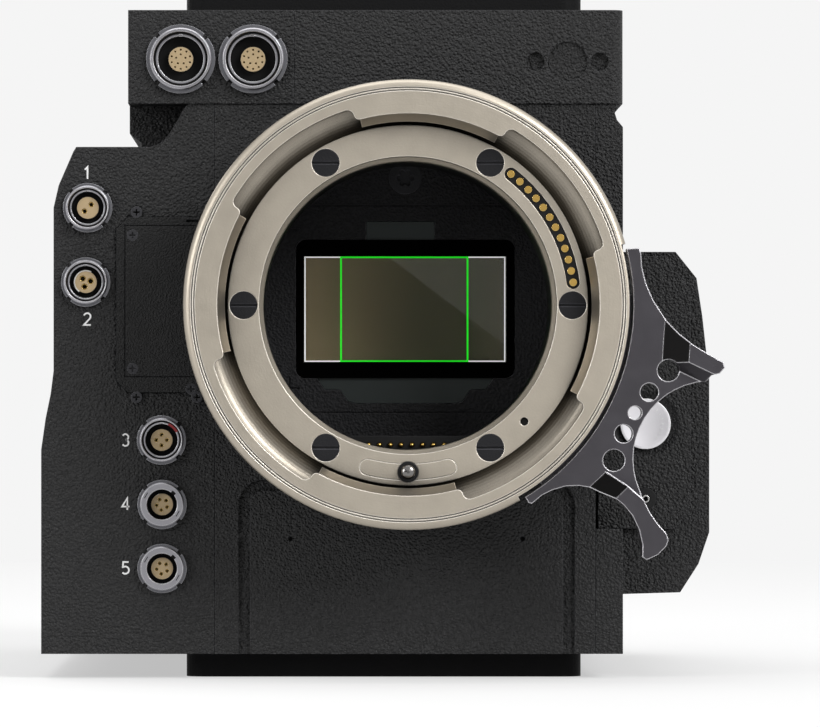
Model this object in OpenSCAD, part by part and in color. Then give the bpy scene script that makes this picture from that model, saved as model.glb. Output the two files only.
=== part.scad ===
// Digital cinema camera body with a large bayonet lens mount.
// The origin is the centre of the lens flange's face. The lens would stand towards -Y,
// +Z is up, and +X is to the right of someone who faces the mount.

/* [Lens mount] */
// Radius of the bore that pilots a lens
throat_r = 29.8; // [29:0.1:30.4]
// Depth of the pilot bore behind the flange face
pilot_depth = 3; // [2:0.5:4]
// Step from the pilot bore in to the light-trap tube
tube_step = 0.85; // [0.5:0.05:1.2]
// Width of the flat seat round the bore
seat_w = 6.2; // [6:0.1:6.6]
// Thickness of the flange disc
flange_t = 5; // [4.8:0.1:5.6]
// Width from the seat out to the edge of the hub, which the lock ring turns on
hub_w = 4.5; // [4.2:0.1:4.8]
// Width of the lip that traps the lock ring
lip_w = 1.4; // [1:0.1:1.6]
// Distance from the flange face to the sensor
flange_focal = 44; // [42:0.5:48]
// Radius of the flange screws' heads
cap_r = 2.75; // [2.4:0.05:2.9]
// Number of flange screws
cap_count = 6; // [6:6:12]
// Radius of the index pin
index_r = 1.4; // [1:0.1:1.5]
// Step from the lock ring's outside in to the mount base behind it
base_step = 1.5; // [1:0.1:2.4]

/* [Lock ring] */
// Wall of the lock ring outside its bayonet channel
ring_wall = 2.7; // [2.4:0.1:3.2]
// How far the ring stands in front of the flange face
ring_front = 6.5; // [6:0.1:7.5]
// Thickness of the four lugs
lug_t = 3.3; // [3:0.1:3.8]
// How far the lugs reach in from the channel's wall
lug_reach = 4.1; // [3.6:0.1:4.4]
// How far the face reaches in between the lugs
gap_reach = 1.6; // [1.2:0.1:2]
// Draft of the lugs' inner face over their thickness
lug_draft = 1.5; // [0.5:0.1:1.8]
// Angle that each lug spans
lug_span = 45.5; // [40:0.5:48]
// Angle of the first lug's centre, counted from +X towards +Z
lug_turn = -6.7; // [-10:0.1:0]

/* [Lock lever] */
// Angle of the lever's middle from +X
lever_turn = -25.3; // [-28:0.1:-22]
// Thickness of the lever's plate
lever_t = 4.6; // [4:0.1:5]
// How far the finger tabs stand proud of the plate
tab_rise = 3.6; // [2:0.1:5]
// Radius of the hollow between the finger tabs
lever_scoop_r = 15.5; // [14.8:0.1:16]

/* [Body] */
// Distance from the flange face back to the body's front
front_y = 20; // [18:0.5:22]
// From the body's front back to the fan's frame
fan_setback = 35; // [34:0.5:40]
// From the fan's frame back to the media door
door_setback = 19; // [18:0.5:24]
// From the media door back to the end of the covers
back_border = 6; // [6:0.5:12]
// Width of the front frame's wall between the mount's bore and the operator side
strip_wall = 4.5; // [4.2:0.1:5]
// Width of the front frame's wall between the mount's bore and the connector side
seam_wall = 5.1; // [4.8:0.1:5.6]
// From the seam of the connector-side cover out to its widest place
side_reach = 35.2; // [34:0.1:39]
// From the seam of the operator-side cover out to its side above and below the hump
strip_step = 5.5; // [5:0.1:7]
// From that side out to the outer face of the hump
hump_reach = 18; // [17:0.1:20]
// From the spigot's bore up to the seam under the upper housing
upper_wall = 7.4; // [7:0.1:9]
// Height of the upper housing
upper_h = 19; // [18.6:0.1:22]
// Lens axis to the underside of the covers
drop_z = 70.5; // [68:0.5:76]
// Height of the neck between the connector side and the upper housing
neck_h = 8.8; // [8.4:0.1:9.4]
// Wall of the covers
wall = 3; // [2.5:0.1:3.4]
// Thickness of the top and base plates
plate_t = 5; // [4:0.5:6]

/* [Sensor] */
// Width of the window over the sensor
window_w = 41.7; // [40:0.1:42]
// Height of the window over the sensor
window_h = 21.8; // [21:0.1:23]
// Width of the black mask beside the window
mask_side = 1.7; // [1.4:0.1:2]
// Height of the black mask above and below the window
mask_border = 3.35; // [3:0.05:3.6]
// Distance from the bezel round the sensor back to the sensor
bezel_step = 6; // [5.6:0.1:7]

/* [Sockets] */
// Radius of the small sockets' nuts
small_nut_r = 5; // [4.6:0.1:5.2]
// Radius of the large sockets' nuts
large_nut_r = 7; // [6.6:0.1:7.2]
// How far the nuts stand proud
nut_rise = 2; // [1.5:0.1:2.6]
// Depth of the sockets behind the panel
socket_depth = 16; // [12:1:20]

/* [Cooling] */
// Radius of the fan's blades
fan_r = 22; // [20:0.5:23]
// Number of fan blades
blade_count = 7; // [5:1:9]
// Pitch of the fan blades
blade_pitch = 38; // [30:1:45]
// Number of heat sink fins
fin_count = 9; // [7:1:11]

/* [Media door] */
// Length of the media door along the body
door_l = 44; // [42:1:46]
// Height of the media door
door_h = 31; // [30:0.5:32]
// Radius of the hinge pin
hinge_pin_r = 0.7; // [0.6:0.05:0.8]

/* [Operator side] */
// Radius of the record button
record_r = 5.15; // [4.8:0.05:5.4]
// Travel of the record button
record_travel = 1.2; // [0.8:0.1:1.2]
// Radius of the menu buttons
menu_r = 3; // [2.6:0.1:3.2]
// Radius of the jog dial
jog_r = 6; // [5:0.1:6.4]
// Width of the side display's glass
display_w = 38; // [34:1:40]
// Height of the side display's glass
display_h = 25; // [22:0.5:26]

/* [Rear] */
// Thickness of the rear panel
rear_t = 6; // [5:0.5:7]
// Thickness of the battery plate
battery_t = 8; // [7:0.5:9]
// Width of the battery plate
battery_w = 62; // [58:1:66]
// Height of the battery plate
battery_h = 88; // [80:1:92]
// Radius of the rear video sockets
video_r = 4.8; // [4.6:0.05:5]

/* [Threads] */
// Wall radius of the large threaded holes
large_thread_r = 3.97; // [3.8:0.01:4.1]
// Wall radius of the small threaded holes
small_thread_r = 2.55; // [2.4:0.01:2.7]
// Distance between neighbouring threaded holes
thread_pitch = 40; // [34:1:44]

/* [Hidden] */
fine = 96;
end_angle = 15;
cut = 1;
fit = 0.05;
seat_gap = 0.1;
run_gap = 0.3;

// Mount sizes that follow from the ones above
seat_r = throat_r + seat_w;
hub_r = seat_r + hub_w;
tube_r = throat_r - tube_step;
lip_r = hub_r + lip_w;
lip_t = 2.2;
cove_r = 3.2;
cove_depth = 1.2;
cove_run = sqrt(cove_r * cove_r - (cove_r - cove_depth) * (cove_r - cove_depth));
sleeve_len = 3;
sleeve_wall = 2.55;
sleeve_r = tube_r + sleeve_wall;
spigot_wall = 5.05;
spigot_r = tube_r + spigot_wall;
spigot_len = 8;
seat_mid_r = throat_r + seat_w / 2;
cap_sink = 0.1;
cap_t = 1.5;
cap_slot_w = 0.55;
cap_slot_depth = 0.5;
shank_r = 1.2;
shank_len = 7.5;

// Contacts in the flange, their insulator and the index pin
contact_shift = 0.45;
contact_ring_r = seat_mid_r + contact_shift;
contact_r = 0.75;
contact_count = 12;
contact_first_angle = 7.85;
contact_step_angle = 4;
contact_rise = 0.35;
contact_len = 1.3;
contact_travel = 0.35;
insulator_w = 2.5;
insulator_t = 1.7;
insulator_end = 1.7;
key_turn = -90;
key_span = 28;
key_w = 3.2;
key_t = 1;
bush_wall = 0.65;
bush_rise = 0.15;
bush_len = 0.5;
index_stem_r = 0.95;
index_rise = 2.2;
index_len = 4;
vent_turn = -45;
vent_r = 0.83;
vent_depth = 1.2;

// Lock ring
channel_r = lip_r + run_gap;
ring_r = channel_r + ring_wall;
base_r = ring_r - base_step;
lug_r = channel_r - lug_reach;
gap_r = channel_r - gap_reach;
lug_back_r = lug_r - lug_draft;
lug_count = 4;
ring_back_y = flange_t - run_gap;
ring_step_y = -1;
ring_step_w = 1.3;
rim_round = 1.5;
groove_w = 0.25;
groove_depth = 0.3;
groove_shares = [0.11, 0.3];
lug_round = 1;
gap_round = 1.4;
lever_rebate_w = 0.9;
lever_rebate_low_angle = -35;
lever_rebate_high_angle = 41;
lever_lap = 0.1;

// Lock lever: outline in the lever's own frame, as shares of its inner radius
lever_in_r = ring_r - lever_lap;
lever_face_y = -5.6;
lever_top_shares = [
    [0.772, 0.640], [0.819, 0.666], [0.836, 0.650], [0.867, 0.595], [0.913, 0.538], [0.975, 0.483],
    [1.069, 0.425], [1.140, 0.396], [1.215, 0.377], [1.300, 0.368], [1.370, 0.364], [1.387, 0.345],
    [1.377, 0.311], [1.349, 0.290]
];
lever_low_shares = [
    [1.320, -0.345], [1.362, -0.378], [1.412, -0.407], [1.466, -0.430], [1.487, -0.452], [1.490, -0.482],
    [1.472, -0.533], [1.438, -0.573], [1.415, -0.570], [1.392, -0.520], [1.350, -0.467], [1.299, -0.424],
    [1.243, -0.397], [1.202, -0.387], [1.123, -0.391], [1.074, -0.390], [1.028, -0.404], [0.976, -0.431],
    [0.931, -0.471], [0.898, -0.513], [0.874, -0.565], [0.860, -0.568], [0.828, -0.546]
];
lever_scoop_steps = 14;
lever_scoop_x_share = 1.509;
lever_scoop_z_share = -0.045;
lever_scoop_from_angle = 119;
lever_scoop_to_angle = 229;
lever_hole_shares = [
    [1.169, 0.229, 0.0482], [1.134, 0.106, 0.0402], [1.116, -0.004, 0.0297],
    [1.110, -0.110, 0.0402], [1.121, -0.235, 0.0482]
];
tab_turn = 21.5;
tab_run = 5.1;
tab_from_share = 1.142;
tab_top_in_share = 0.298;
tab_low_shares = [[1, -0.298], [1.11, -0.298], [1.226, -0.314], [1.277, -0.328], [1.5, -0.39],
    [1.6, -0.7], [1, -0.7]];
flank_w = 2.3;
tongue_t = 4;
tongue_w = 2.6;
tongue_span = 56;
lever_screw_r = 1;
lever_screw_angles = [-20, 0, 20];
lever_screw_len = 1.2;

// Throat block and its spring contacts
block_top_z = -26.15;
block_low_z = -30;
block_w = 25.2;
block_t = 5;
block_back_gap = 1;
pogo_count = 8;
pogo_pitch = 2.2;
pogo_r = 0.5;
pogo_z = -28;
pogo_rise = 0.9;
pogo_travel = 0.7;

// Sensor stack
bezel_border = 1;
bezel_w = 2 * (spigot_r + bezel_border);
bezel_y = flange_focal - bezel_step;
bezel_t = 2.5;
mask_w = window_w + 2 * mask_side;
mask_h = window_h + 2 * mask_border;
mask_t = 0.8;
mask_round = 2;
filter_tab_w = 14.1;
filter_tab_x = -1;
filter_tab_h = 3.8;
filter_foot_shares = [[-0.404, 0], [-0.368, 0.45], [-0.297, 0.45], [-0.262, 0.92], [-0.228, 1],
    [0.228, 1], [0.262, 0.92], [0.297, 0.45], [0.368, 0.45], [0.404, 0]];
filter_foot_h = 5.2;
seam_groove_w = 0.3;
seam_groove_depth = 0.3;
seam_top_z = 21.2;
seam_low_z = -21.5;
star_screw_drop = 7.9;
star_screw_z = bezel_w / 2 - star_screw_drop;
star_screw_r = 3.4;
star_lobe_r = 0.55;
star_core_r = 1.25;
star_depth = 1;
corner_mark_l = 2.4;
corner_mark_w = 0.5;
corner_mark_x = 21.8;
corner_mark_z = 16.4;
board_side = 2;
glass_side = 0.65;
glass_border = 0.8;
glass_w = window_w + 2 * glass_side;
glass_h = window_h + 2 * glass_border;
glass_t = 1;
carrier_side = 7.5;
carrier_w = glass_w + 2 * carrier_side;
carrier_h = glass_h + 2 * carrier_side + board_side;
sensor_t = 2;
board_w = carrier_w + board_side;
board_h = carrier_h + board_side;
board_t = 1.6;
sink_w = 44;
sink_h = 34;
sink_t = 3;
fin_l = 14;
fin_t = 1.4;

// Where the body's seams and sides lie, from the mount outwards
seam_w = spigot_r + seam_wall;
strip_in_w = spigot_r + strip_wall;
side_w = seam_w + side_reach;
strip_w = strip_in_w + strip_step;
hump_w = strip_w + hump_reach;
upper_z = spigot_r + upper_wall;
top_z = upper_z + upper_h;
shoulder_z = upper_z - neck_h;
panel_seam_w = 22.8;
large_edge = 1.4;
large_gap = 0.7;
large_border = 3.7;
large_in_x = panel_seam_w + large_edge + large_nut_r;
large_out_x = large_in_x + 2 * large_nut_r + large_gap;
upper_w = large_out_x + large_nut_r + large_border;
frame_step = 6;

// Body outlines: shares of side_w out, and of shoulder_z above or drop_z below the lens axis
side_shares = [[1, -1], [1, -0.411], [0.988, -0.322], [0.974, -0.25], [0.966, -0.184],
    [0.966, 0.62], [0.952, 0.76], [0.912, 0.97], [0.904, 1]];
neck_in = 4.4;
neck_top_in = 12.2;
neck_x = upper_w - neck_in;
neck_top_x = upper_w - neck_top_in;
neck_shares = [[0, 0], [0.22, 0.06], [0.4, 0.18], [0.58, 0.4], [0.73, 0.62], [0.86, 0.85], [1, 1]];
hump_shares = [[0, -0.83], [0.67, -0.825], [0.878, -0.742], [1, -0.65]];
hump_top_shares = [[1, -0.35], [0.922, -0.043], [0.856, 0.147], [0.617, 0.277], [0, 0.277]];
notch_shares = [[0, 0.885], [-0.22, 0.92], [-0.3, 0.955], [-0.15, 0.98], [-0.15, 1]];
hump_back_step = 24;
hump_front_step = 7;
frame_back_y = flange_focal + frame_step;
u_groove_w = 2.4;
u_groove_depth = 0.8;
u_groove_x = 33;
u_groove_z = -36.2;
u_groove_round = 4;
dimple_x = 23.6;
dimple_z = -47.1;
dimple_r = 0.5;
panel_t = 4.5;
panel_rise = 0.5;
top_knob_x = 32.7;
top_knob_share = 0.447;
top_knob_z = upper_z + top_knob_share * upper_h;
top_knob_r = 4.1;
top_eye_r = 1.9;
top_eye_step = 6.5;
top_knob_depth = 0.5;
corner_bead_x = 41.2;
corner_bead_r = 2.2;
upper_back_step = 4.5;
under_shoulder_y = 30;
under_chamfer = 2.4;
under_low_shares = [0.36, 0.85];

// Raised access panel beside the mount
access_gap = 0.8;
access_top_z = 18.3;
access_low_z = -17.3;
access_rise = 0.7;
access_inner_inset = 1.6;
access_inner_low = 3;
access_corner = 2.4;
access_slot_x = 40.8;
access_screw_shares = [[0.834, 0.8], [0.834, -0.72], [0.235, -0.96]];
panel_screw_r = 1.15;
panel_screw_len = 4;

// Sockets: place, number of pin holes and turn of the keyway
socket_y = front_y;
small_x_shares = [0.73, 0.7415, 0.304, 0.301, 0.301];
small_z = [20.2, 5.1, -27, -40.1, -53.1];
small_places = [for (i = [0:len(small_z) - 1]) [-seam_w - small_x_shares[i] * side_reach, small_z[i]]];
small_pins = [2, 3, 4, 5, 5];
large_z_share = 0.474;
large_z = upper_z + large_z_share * upper_h;
large_places = [[-large_out_x, large_z], [-large_in_x, large_z]];
access_x = -small_places[0].x - small_nut_r - access_gap;
large_pins = [5, 10];
small_insert_r = 2.2;
large_insert_r = 2.5;
small_pin_r = 0.42;
large_pin_r = 0.22;
shell_bore_share = 0.66;
shell_out_share = 0.76;
shell_rise_share = 0.7;
insert_rise_share = 0.1;
nut_notch_w = 1;
nut_notch_depth_share = 0.16;
keyway_w = 0.7;
insert_foot_len = 5;

// Fan in the connector-side cover
fan_rim = 2.4;
fan_frame_t = 15;
fan_gap = 0.6;
fan_frame_w = 2 * (fan_r + fan_gap + fan_rim);
fan_y = front_y + fan_setback + fan_frame_w / 2;
fan_hub_r = 9;
fan_shaft_r = 1.5;
blade_t = 1.4;
blade_l = 9;
fan_inset = 1.2;
grille_r = fan_r + fan_gap;
grille_t = 1.6;
grille_rings = 5;
grille_bar_w = 1.2;
grille_spokes = 6;

// Media bay and its door
door_y = fan_y + fan_frame_w / 2 + door_setback + door_l / 2;
back_y = door_y + door_l / 2 + back_border;
hump_back_y = back_y - hump_back_step;
chassis_back_y = back_y - wall - run_gap;
door_mid_z = 4;
door_t = 2.8;
door_gap = 0.3;
door_sink = 0.1;
knuckle_r = 1.6;
knuckle_l = 7;
knuckle_out = 1.2;
hinge_back = 2.4;
bay_inset = 3;
bay_l = door_l - 2 * bay_inset;
bay_slot_h = 12;
bay_back_gap = 5.67;
bay_wall = 2;
card_slot_l = bay_l - 2 * bay_inset;
bay_depth = side_w * side_shares[5].x - wall - seam_w - bay_back_gap;

// Operator side
button_panel_t = 3;
button_panel_rise = 1.5;
button_panel_shares = [[0, -0.64], [0.7, -0.64], [0.83, -0.572], [0.83, 0.05], [0.6, 0.15], [0, 0.15]];
button_panel_gap = 0.7;
button_panel_edge_x = strip_in_w + button_panel_gap;
record_x_share = 0.4254;
record_x = button_panel_edge_x + record_x_share * (hump_w - button_panel_edge_x);
record_z = -23.7;
record_bowl_w = 2.05;
record_bowl_r = record_r + record_bowl_w;
record_bowl_depth = 1.2;
record_rise = 1.2;
record_dish_depth = 0.45;
record_len = 3.6;
jack_z = -39;
jack_r = 2.2;
jack_bore_r = 0.9;
jack_rise = 0.3;
jack_len = 2.6;
menu_gap = 2;
menu_pitch = 2 * menu_r + menu_gap;
menu_setback = 9;
menu_rise = 0.7;
menu_len = 2;
menu_travel = 0.6;
display_mid_z = -30;
display_setback = 4;
display_sink = 0.3;
display_t = 1.6;
jog_setback = 19;
jog_y = front_y + hump_front_step + jog_setback + jog_r;
display_y = jog_y + jog_r + display_setback + display_w / 2;
menu_y = display_y + display_w / 2 + menu_setback + menu_r;
menu_places = [for (i = [1:-1:-1]) display_mid_z + i * menu_pitch];
jog_t = 4;
jog_gap = 0.3;
jog_shaft_r = 1.5;
jog_shaft_len = 2.4;
jog_flutes = 16;
jog_flute_r = 0.5;

// Rear
video_x_share = 0.48;
video_x = -seam_w - video_x_share * side_reach;
video_places = [22, 6, -10, -26];
video_len = 11;
video_foot_r = 6.4;
video_foot_t = 2;
video_bore_r = 3.2;
video_lug_r = 0.9;
battery_x = 3;
battery_mid_z = -12;
battery_slot_w = 9;
battery_slot_h = 14;
battery_slot_depth = 5;
battery_slot_x = 20;
battery_slot_z = 26;
pad_w = 4;
pad_h = 9;
pad_t = 1.2;
pad_pitch = 7;
pad_count = 4;
release_w = 8;
release_h = 14;
release_t = 4;
release_lift = 2;
release_travel = 4;
release_gap = 0.1;
switch_z = -48;
switch_w = 8;
switch_h = 16;
switch_t = 3.4;
switch_rise = 1.6;
switch_pin_r = 1;
switch_well = 6;
switch_gap = 0.4;

// Top and base plates
plate_border = 10;
plate_back_border = 14;
plate_front_y = front_y + plate_border;
plate_back_y = back_y - plate_back_border;
plate_left_in = 11.6;
plate_right_in = 8;
plate_edge_w = upper_w - plate_left_in;
plate_right_w = strip_w - plate_right_in;
plate_round = 4;
thread_setback = 42;
thread_front_y = front_y + thread_setback;
small_thread_step = 13;
base_key_r = 2.05;

processor_setback = 54;
processor_y = frame_back_y + processor_setback;
chip_w = 16;
chip_t = 2.2;

// Turns an outline drawn in X and Z into a slab from one depth to another
module slab(front, back) {
    translate([0, back, 0]) rotate([90, 0, 0]) linear_extrude(height = back - front) children();
}

// Turns an outline of radius and depth about the lens axis
module turned() {
    rotate([-90, 0, 0]) rotate_extrude($fn = fine) children();
}

// A round bar along the lens axis
module bar(r, front, back) {
    translate([0, back, 0]) rotate([90, 0, 0]) cylinder(r = r, h = back - front, $fn = fine);
}

// A round bar along X, from one place outwards to another
module side_bar(r, x1, x2) {
    translate([x1, 0, 0]) rotate([0, 90, 0]) cylinder(r = r, h = x2 - x1, $fn = fine);
}

// A block given by its low and high corners
module block(lo, hi) {
    translate(lo) cube(hi - lo);
}

// A flat rectangle given by its low and high corners
module area(lo, hi) {
    translate(lo) square(hi - lo);
}

// A rectangle about the middle with round corners
module round_area(w, h, r) {
    hull() for (x = [-1, 1], z = [-1, 1])
        translate([x * (w / 2 - r), z * (h / 2 - r)]) circle(r = r, $fn = 32);
}

// A wedge from the middle between two angles, longer than any ring that it cuts
module wedge(r, a1, a2) {
    steps = ceil((a2 - a1) / 45);
    polygon(concat([[0, 0]], [for (i = [0:steps]) let (a = a1 + (a2 - a1) * i / steps) 2 * r * [cos(a), sin(a)]]));
}

// Part of a ring between two radii and two angles
module ring_part(r1, r2, a1, a2) {
    intersection() {
        difference() {
            circle(r = r2, $fn = fine);
            circle(r = r1, $fn = fine);
        }
        wedge(r2, a1, a2);
    }
}

// Points on an arc about the middle, and a list of points moved by a vector
function arc(r, a1, a2, steps) = [for (i = [0:steps]) let (a = a1 + (a2 - a1) * i / steps) r * [cos(a), sin(a)]];
function moved(by, points) = [for (p = points) p + by];
function at(r, a) = r * [cos(a), sin(a)];

// Part of a ring with round ends, about a middle radius
module round_ring_part(r, w, a1, a2) {
    steps = ceil((a2 - a1) / 2);
    polygon(concat(
        arc(r + w / 2, a1, a2, steps), moved(at(r, a2), arc(w / 2, a2 + end_angle, a2 + 180 - end_angle, 10)),
        arc(r - w / 2, a2, a1, steps), moved(at(r, a1), arc(w / 2, a1 + 180 + end_angle, a1 + 360 - end_angle, 10))));
}

// A round pin along the lens axis with a domed tip towards the lens
module domed_pin(r, dome, front, back) {
    rotate([-90, 0, 0]) rotate_extrude($fn = 48) polygon(concat(
        [[0, back], [0, front], [r / 4, front]],
        [for (a = [36:18:90]) [r * sin(a), front + dome * (1 - cos(a))]], [[r, back]]));
}

// Places children on a circle about the lens axis
module around(r, a) {
    translate([r * cos(a), 0, r * sin(a)]) children();
}

// Lens flange

module contact_recess(gap) {
    last = contact_first_angle + contact_step_angle * (contact_count - 1);
    round_ring_part(contact_ring_r, insulator_w + 2 * gap, contact_first_angle, last);
}

module flange_profile() {
    cove_mid_r = seat_r + cove_run;
    half_turn = acos((cove_r - cove_depth) / cove_r);
    polygon(concat(
        [[throat_r, 0]],
        moved([cove_mid_r, cove_depth - cove_r], arc(cove_r, 90 + half_turn, 90 - half_turn, 10)),
        [[lip_r, 0], [lip_r, lip_t], [hub_r, lip_t], [hub_r, flange_t], [sleeve_r, flange_t],
            [sleeve_r, flange_t + sleeve_len], [tube_r, flange_t + sleeve_len],
            [tube_r, pilot_depth + tube_step], [throat_r, pilot_depth]]));
}

module lens_flange() color([0.72, 0.68, 0.62]) {
    difference() {
        turned() flange_profile();
        for (i = [0:cap_count - 1]) around(seat_mid_r, i * 360 / cap_count) {
            bar(cap_r + fit, -cut, cap_sink + cap_t);
            bar(shank_r + fit, 0, flange_t + cut);
        }
        slab(-cut, insulator_t) contact_recess(fit);
        slab(-cut, key_t) key_outline(fit);
        around(contact_ring_r, key_turn) {
            bar(index_r + bush_wall + fit, -cut, bush_len);
            bar(index_stem_r + fit, 0, index_len);
        }
        around(seat_mid_r, vent_turn) bar(vent_r, -cut, vent_depth);
    }
}

module flange_screws() color([0.09, 0.09, 0.1]) {
    head_back = cap_sink + cap_t;
    for (i = [0:cap_count - 1]) around(seat_mid_r, i * 360 / cap_count) difference() {
        union() {
            bar(cap_r, cap_sink, head_back);
            bar(shank_r, head_back, head_back + shank_len);
        }
        block([-cap_r - cut, cap_sink - cut, -cap_slot_w / 2], [cap_r + cut, cap_sink + cap_slot_depth, cap_slot_w / 2]);
    }
}

module contact_places() {
    for (i = [0:contact_count - 1]) around(contact_ring_r, contact_first_angle + i * contact_step_angle) children();
}

module contact_insulator() color([0.05, 0.05, 0.05]) {
    difference() {
        slab(cap_sink, insulator_t) contact_recess(0);
        contact_places() bar(contact_r + fit, -cut, insulator_t + cut);
    }
}

module flange_contacts() color([0.72, 0.6, 0.33]) {
    contact_places() bar(contact_r, -contact_rise, contact_len - fit);
}

module key_outline(gap) {
    round_ring_part(contact_ring_r, key_w + 2 * gap, key_turn - key_span / 2, key_turn + key_span / 2);
}

module index_plate() color([0.7, 0.66, 0.6]) {
    difference() {
        slab(0, key_t) key_outline(0);
        around(contact_ring_r, key_turn) {
            bar(index_r + bush_wall + fit, -cut, bush_len);
            bar(index_stem_r + fit, 0, key_t + cut);
        }
    }
}

module index_bush() color([0.06, 0.06, 0.06]) {
    around(contact_ring_r, key_turn) difference() {
        bar(index_r + bush_wall, -bush_rise, bush_len);
        bar(index_r + fit, -bush_rise - cut, bush_len + cut);
    }
}

module index_pin() color([0.75, 0.75, 0.76]) {
    around(contact_ring_r, key_turn) {
        domed_pin(index_r, index_r / 2, -index_rise - index_r / 2, bush_len);
        bar(index_stem_r, bush_len, index_len);
    }
}

module mount_base() color([0.08, 0.08, 0.085]) {
    tube_back = front_y + spigot_len;
    difference() {
        turned() {
            area([sleeve_r + fit, flange_t], [base_r, front_y]);
            area([tube_r, flange_t + sleeve_len + fit], [spigot_r, tube_back]);
        }
        for (i = [0:cap_count - 1]) around(seat_mid_r, i * 360 / cap_count)
            bar(shank_r + fit, flange_t - cut, cap_sink + cap_t + shank_len + run_gap);
        block([-block_w / 2 - seat_gap, tube_back - block_back_gap - block_t - seat_gap, block_low_z - seat_gap],
            [block_w / 2 + seat_gap, tube_back + cut, block_top_z]);
        pogo_places() bar(pogo_r + run_gap, tube_back - block_back_gap - block_t - pogo_rise - run_gap, tube_back + cut);
    }
}

// Lock ring: a channel for the lens's tabs behind four lugs

module ring_profile() {
    face = -ring_front;
    lug_back = lug_t - ring_front;
    shoulder_y = lip_t + run_gap;
    grooves = [for (s = groove_shares) ring_r - rim_round - ring_wall * s];
    polygon(concat(
        [[lug_back_r, lug_back], [lug_r, face]],
        [for (i = [len(grooves) - 1:-1:0], p = [[0, 0], [0, groove_depth], [groove_w, groove_depth], [groove_w, 0]])
            [grooves[i] + p.x, face + p.y]],
        moved([ring_r - rim_round, face + rim_round], arc(rim_round, -90, 0, 8)),
        [[ring_r, ring_step_y], [ring_r - ring_step_w, ring_step_y], [ring_r - ring_step_w, ring_back_y],
            [hub_r + run_gap, ring_back_y], [hub_r + run_gap, shoulder_y], [channel_r, shoulder_y], [channel_r, lug_back]]));
}

// The opening between two lugs, with rounded corners at the ring and at the lugs' tips
module lug_gap(a1, a2) {
    corner_r = gap_r - gap_round;
    tip_r = lug_r + lug_round;
    turn = asin(gap_round / corner_r);
    tip_turn = asin(lug_round / tip_r);
    polygon(concat(
        arc(gap_r, a1 + turn, a2 - turn, 24),
        moved(at(corner_r, a2 - turn), arc(gap_round, a2, a2 + 90, 6)),
        moved(at(tip_r, a2 + tip_turn), arc(lug_round, a2 - 90, a2 + tip_turn - 180, 6)),
        arc(lug_back_r - cut, a2 + tip_turn, a1 - tip_turn, 12),
        moved(at(tip_r, a1 - tip_turn), arc(lug_round, a1 - tip_turn + 180, a1 + 90, 6)),
        moved(at(corner_r, a1 + turn), arc(gap_round, a1 - 90, a1, 6))));
}

module lock_ring() color([0.72, 0.68, 0.61]) {
    step = 360 / lug_count;
    difference() {
        turned() ring_profile();
        for (i = [0:lug_count - 1]) slab(-ring_front - cut, lug_t - ring_front + cut)
            lug_gap(lug_turn + i * step + lug_span / 2, lug_turn + (i + 1) * step - lug_span / 2);
        rotate([0, -lever_turn, 0]) slab(-ring_front - cut, ring_step_y + cut)
            ring_part(ring_r - lever_rebate_w, ring_r + cut, lever_rebate_low_angle, lever_rebate_high_angle);
        lever_screw_holes(lever_screw_r + fit);
    }
}

// Lock lever, drawn in its own frame and turned to its place

module lever_outline() {
    scoop = [for (i = [0:lever_scoop_steps])
        let (a = lever_scoop_from_angle + (lever_scoop_to_angle - lever_scoop_from_angle) * i / lever_scoop_steps)
        [lever_in_r * lever_scoop_x_share + lever_scoop_r * cos(a),
            lever_in_r * lever_scoop_z_share + lever_scoop_r * sin(a)]];
    difference() {
        polygon(concat(lever_in_r * lever_low_shares, lever_in_r * lever_top_shares, scoop));
        circle(r = lever_in_r, $fn = fine);
        for (h = lever_hole_shares) translate(lever_in_r * [h.x, h.y]) circle(r = lever_in_r * h.z, $fn = 48);
    }
}

// What is cut away in front of a finger tab's ramp, which climbs outwards along its own direction
module ramp_cut(side) {
    reach = lever_in_r * tab_from_share;
    top = lever_face_y - tab_rise;
    slope = tab_rise / tab_run;
    rotate([0, -side * tab_turn, 0]) translate([0, 0, -lever_in_r]) linear_extrude(height = 2 * lever_in_r)
        polygon([[0, top - cut], [reach + tab_run + cut / slope, top - cut], [reach - cut / slope, lever_face_y + cut],
            [0, lever_face_y + cut]]);
}

module upper_tab() {
    in_z = lever_in_r * tab_top_in_share;
    top = lever_face_y - tab_rise;
    lean = flank_w / tab_rise * cut;
    difference() {
        slab(top, lever_face_y) intersection() {
            lever_outline();
            area([lever_in_r, in_z - flank_w - lean], [2 * lever_in_r, lever_in_r]);
        }
        ramp_cut(1);
        rotate([90, 0, 90]) linear_extrude(height = 2 * lever_in_r)
            polygon([[top - cut, 0], [lever_face_y + cut, 0], [lever_face_y + cut, in_z - flank_w - lean], [top - cut, in_z + lean]]);
    }
}

module lower_tab() {
    difference() {
        slab(lever_face_y - tab_rise, lever_face_y) intersection() {
            lever_outline();
            polygon(lever_in_r * tab_low_shares);
        }
        ramp_cut(-1);
    }
}

module lever_screw_holes(r) {
    for (a = lever_screw_angles) rotate([0, -lever_turn - a, 0]) translate([0, ring_step_y + tongue_t / 2, 0])
        side_bar(r, ring_r - ring_step_w - lever_screw_len, ring_r - ring_step_w + tongue_w - run_gap);
}

module lock_lever() color([0.4, 0.39, 0.41]) {
    tongue_in_r = ring_r - ring_step_w + fit;
    difference() {
        rotate([0, -lever_turn, 0]) {
            slab(lever_face_y, lever_face_y + lever_t) lever_outline();
            upper_tab();
            lower_tab();
            slab(lever_face_y + lever_t, ring_step_y + tongue_t)
                ring_part(tongue_in_r, tongue_in_r + tongue_w, -tongue_span / 2, tongue_span / 2);
        }
        for (a = lever_screw_angles) rotate([0, -lever_turn - a, 0]) translate([0, ring_step_y + tongue_t / 2, 0])
            side_bar(lever_screw_r + fit, tongue_in_r - cut, tongue_in_r + tongue_w + cut);
    }
}

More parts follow.
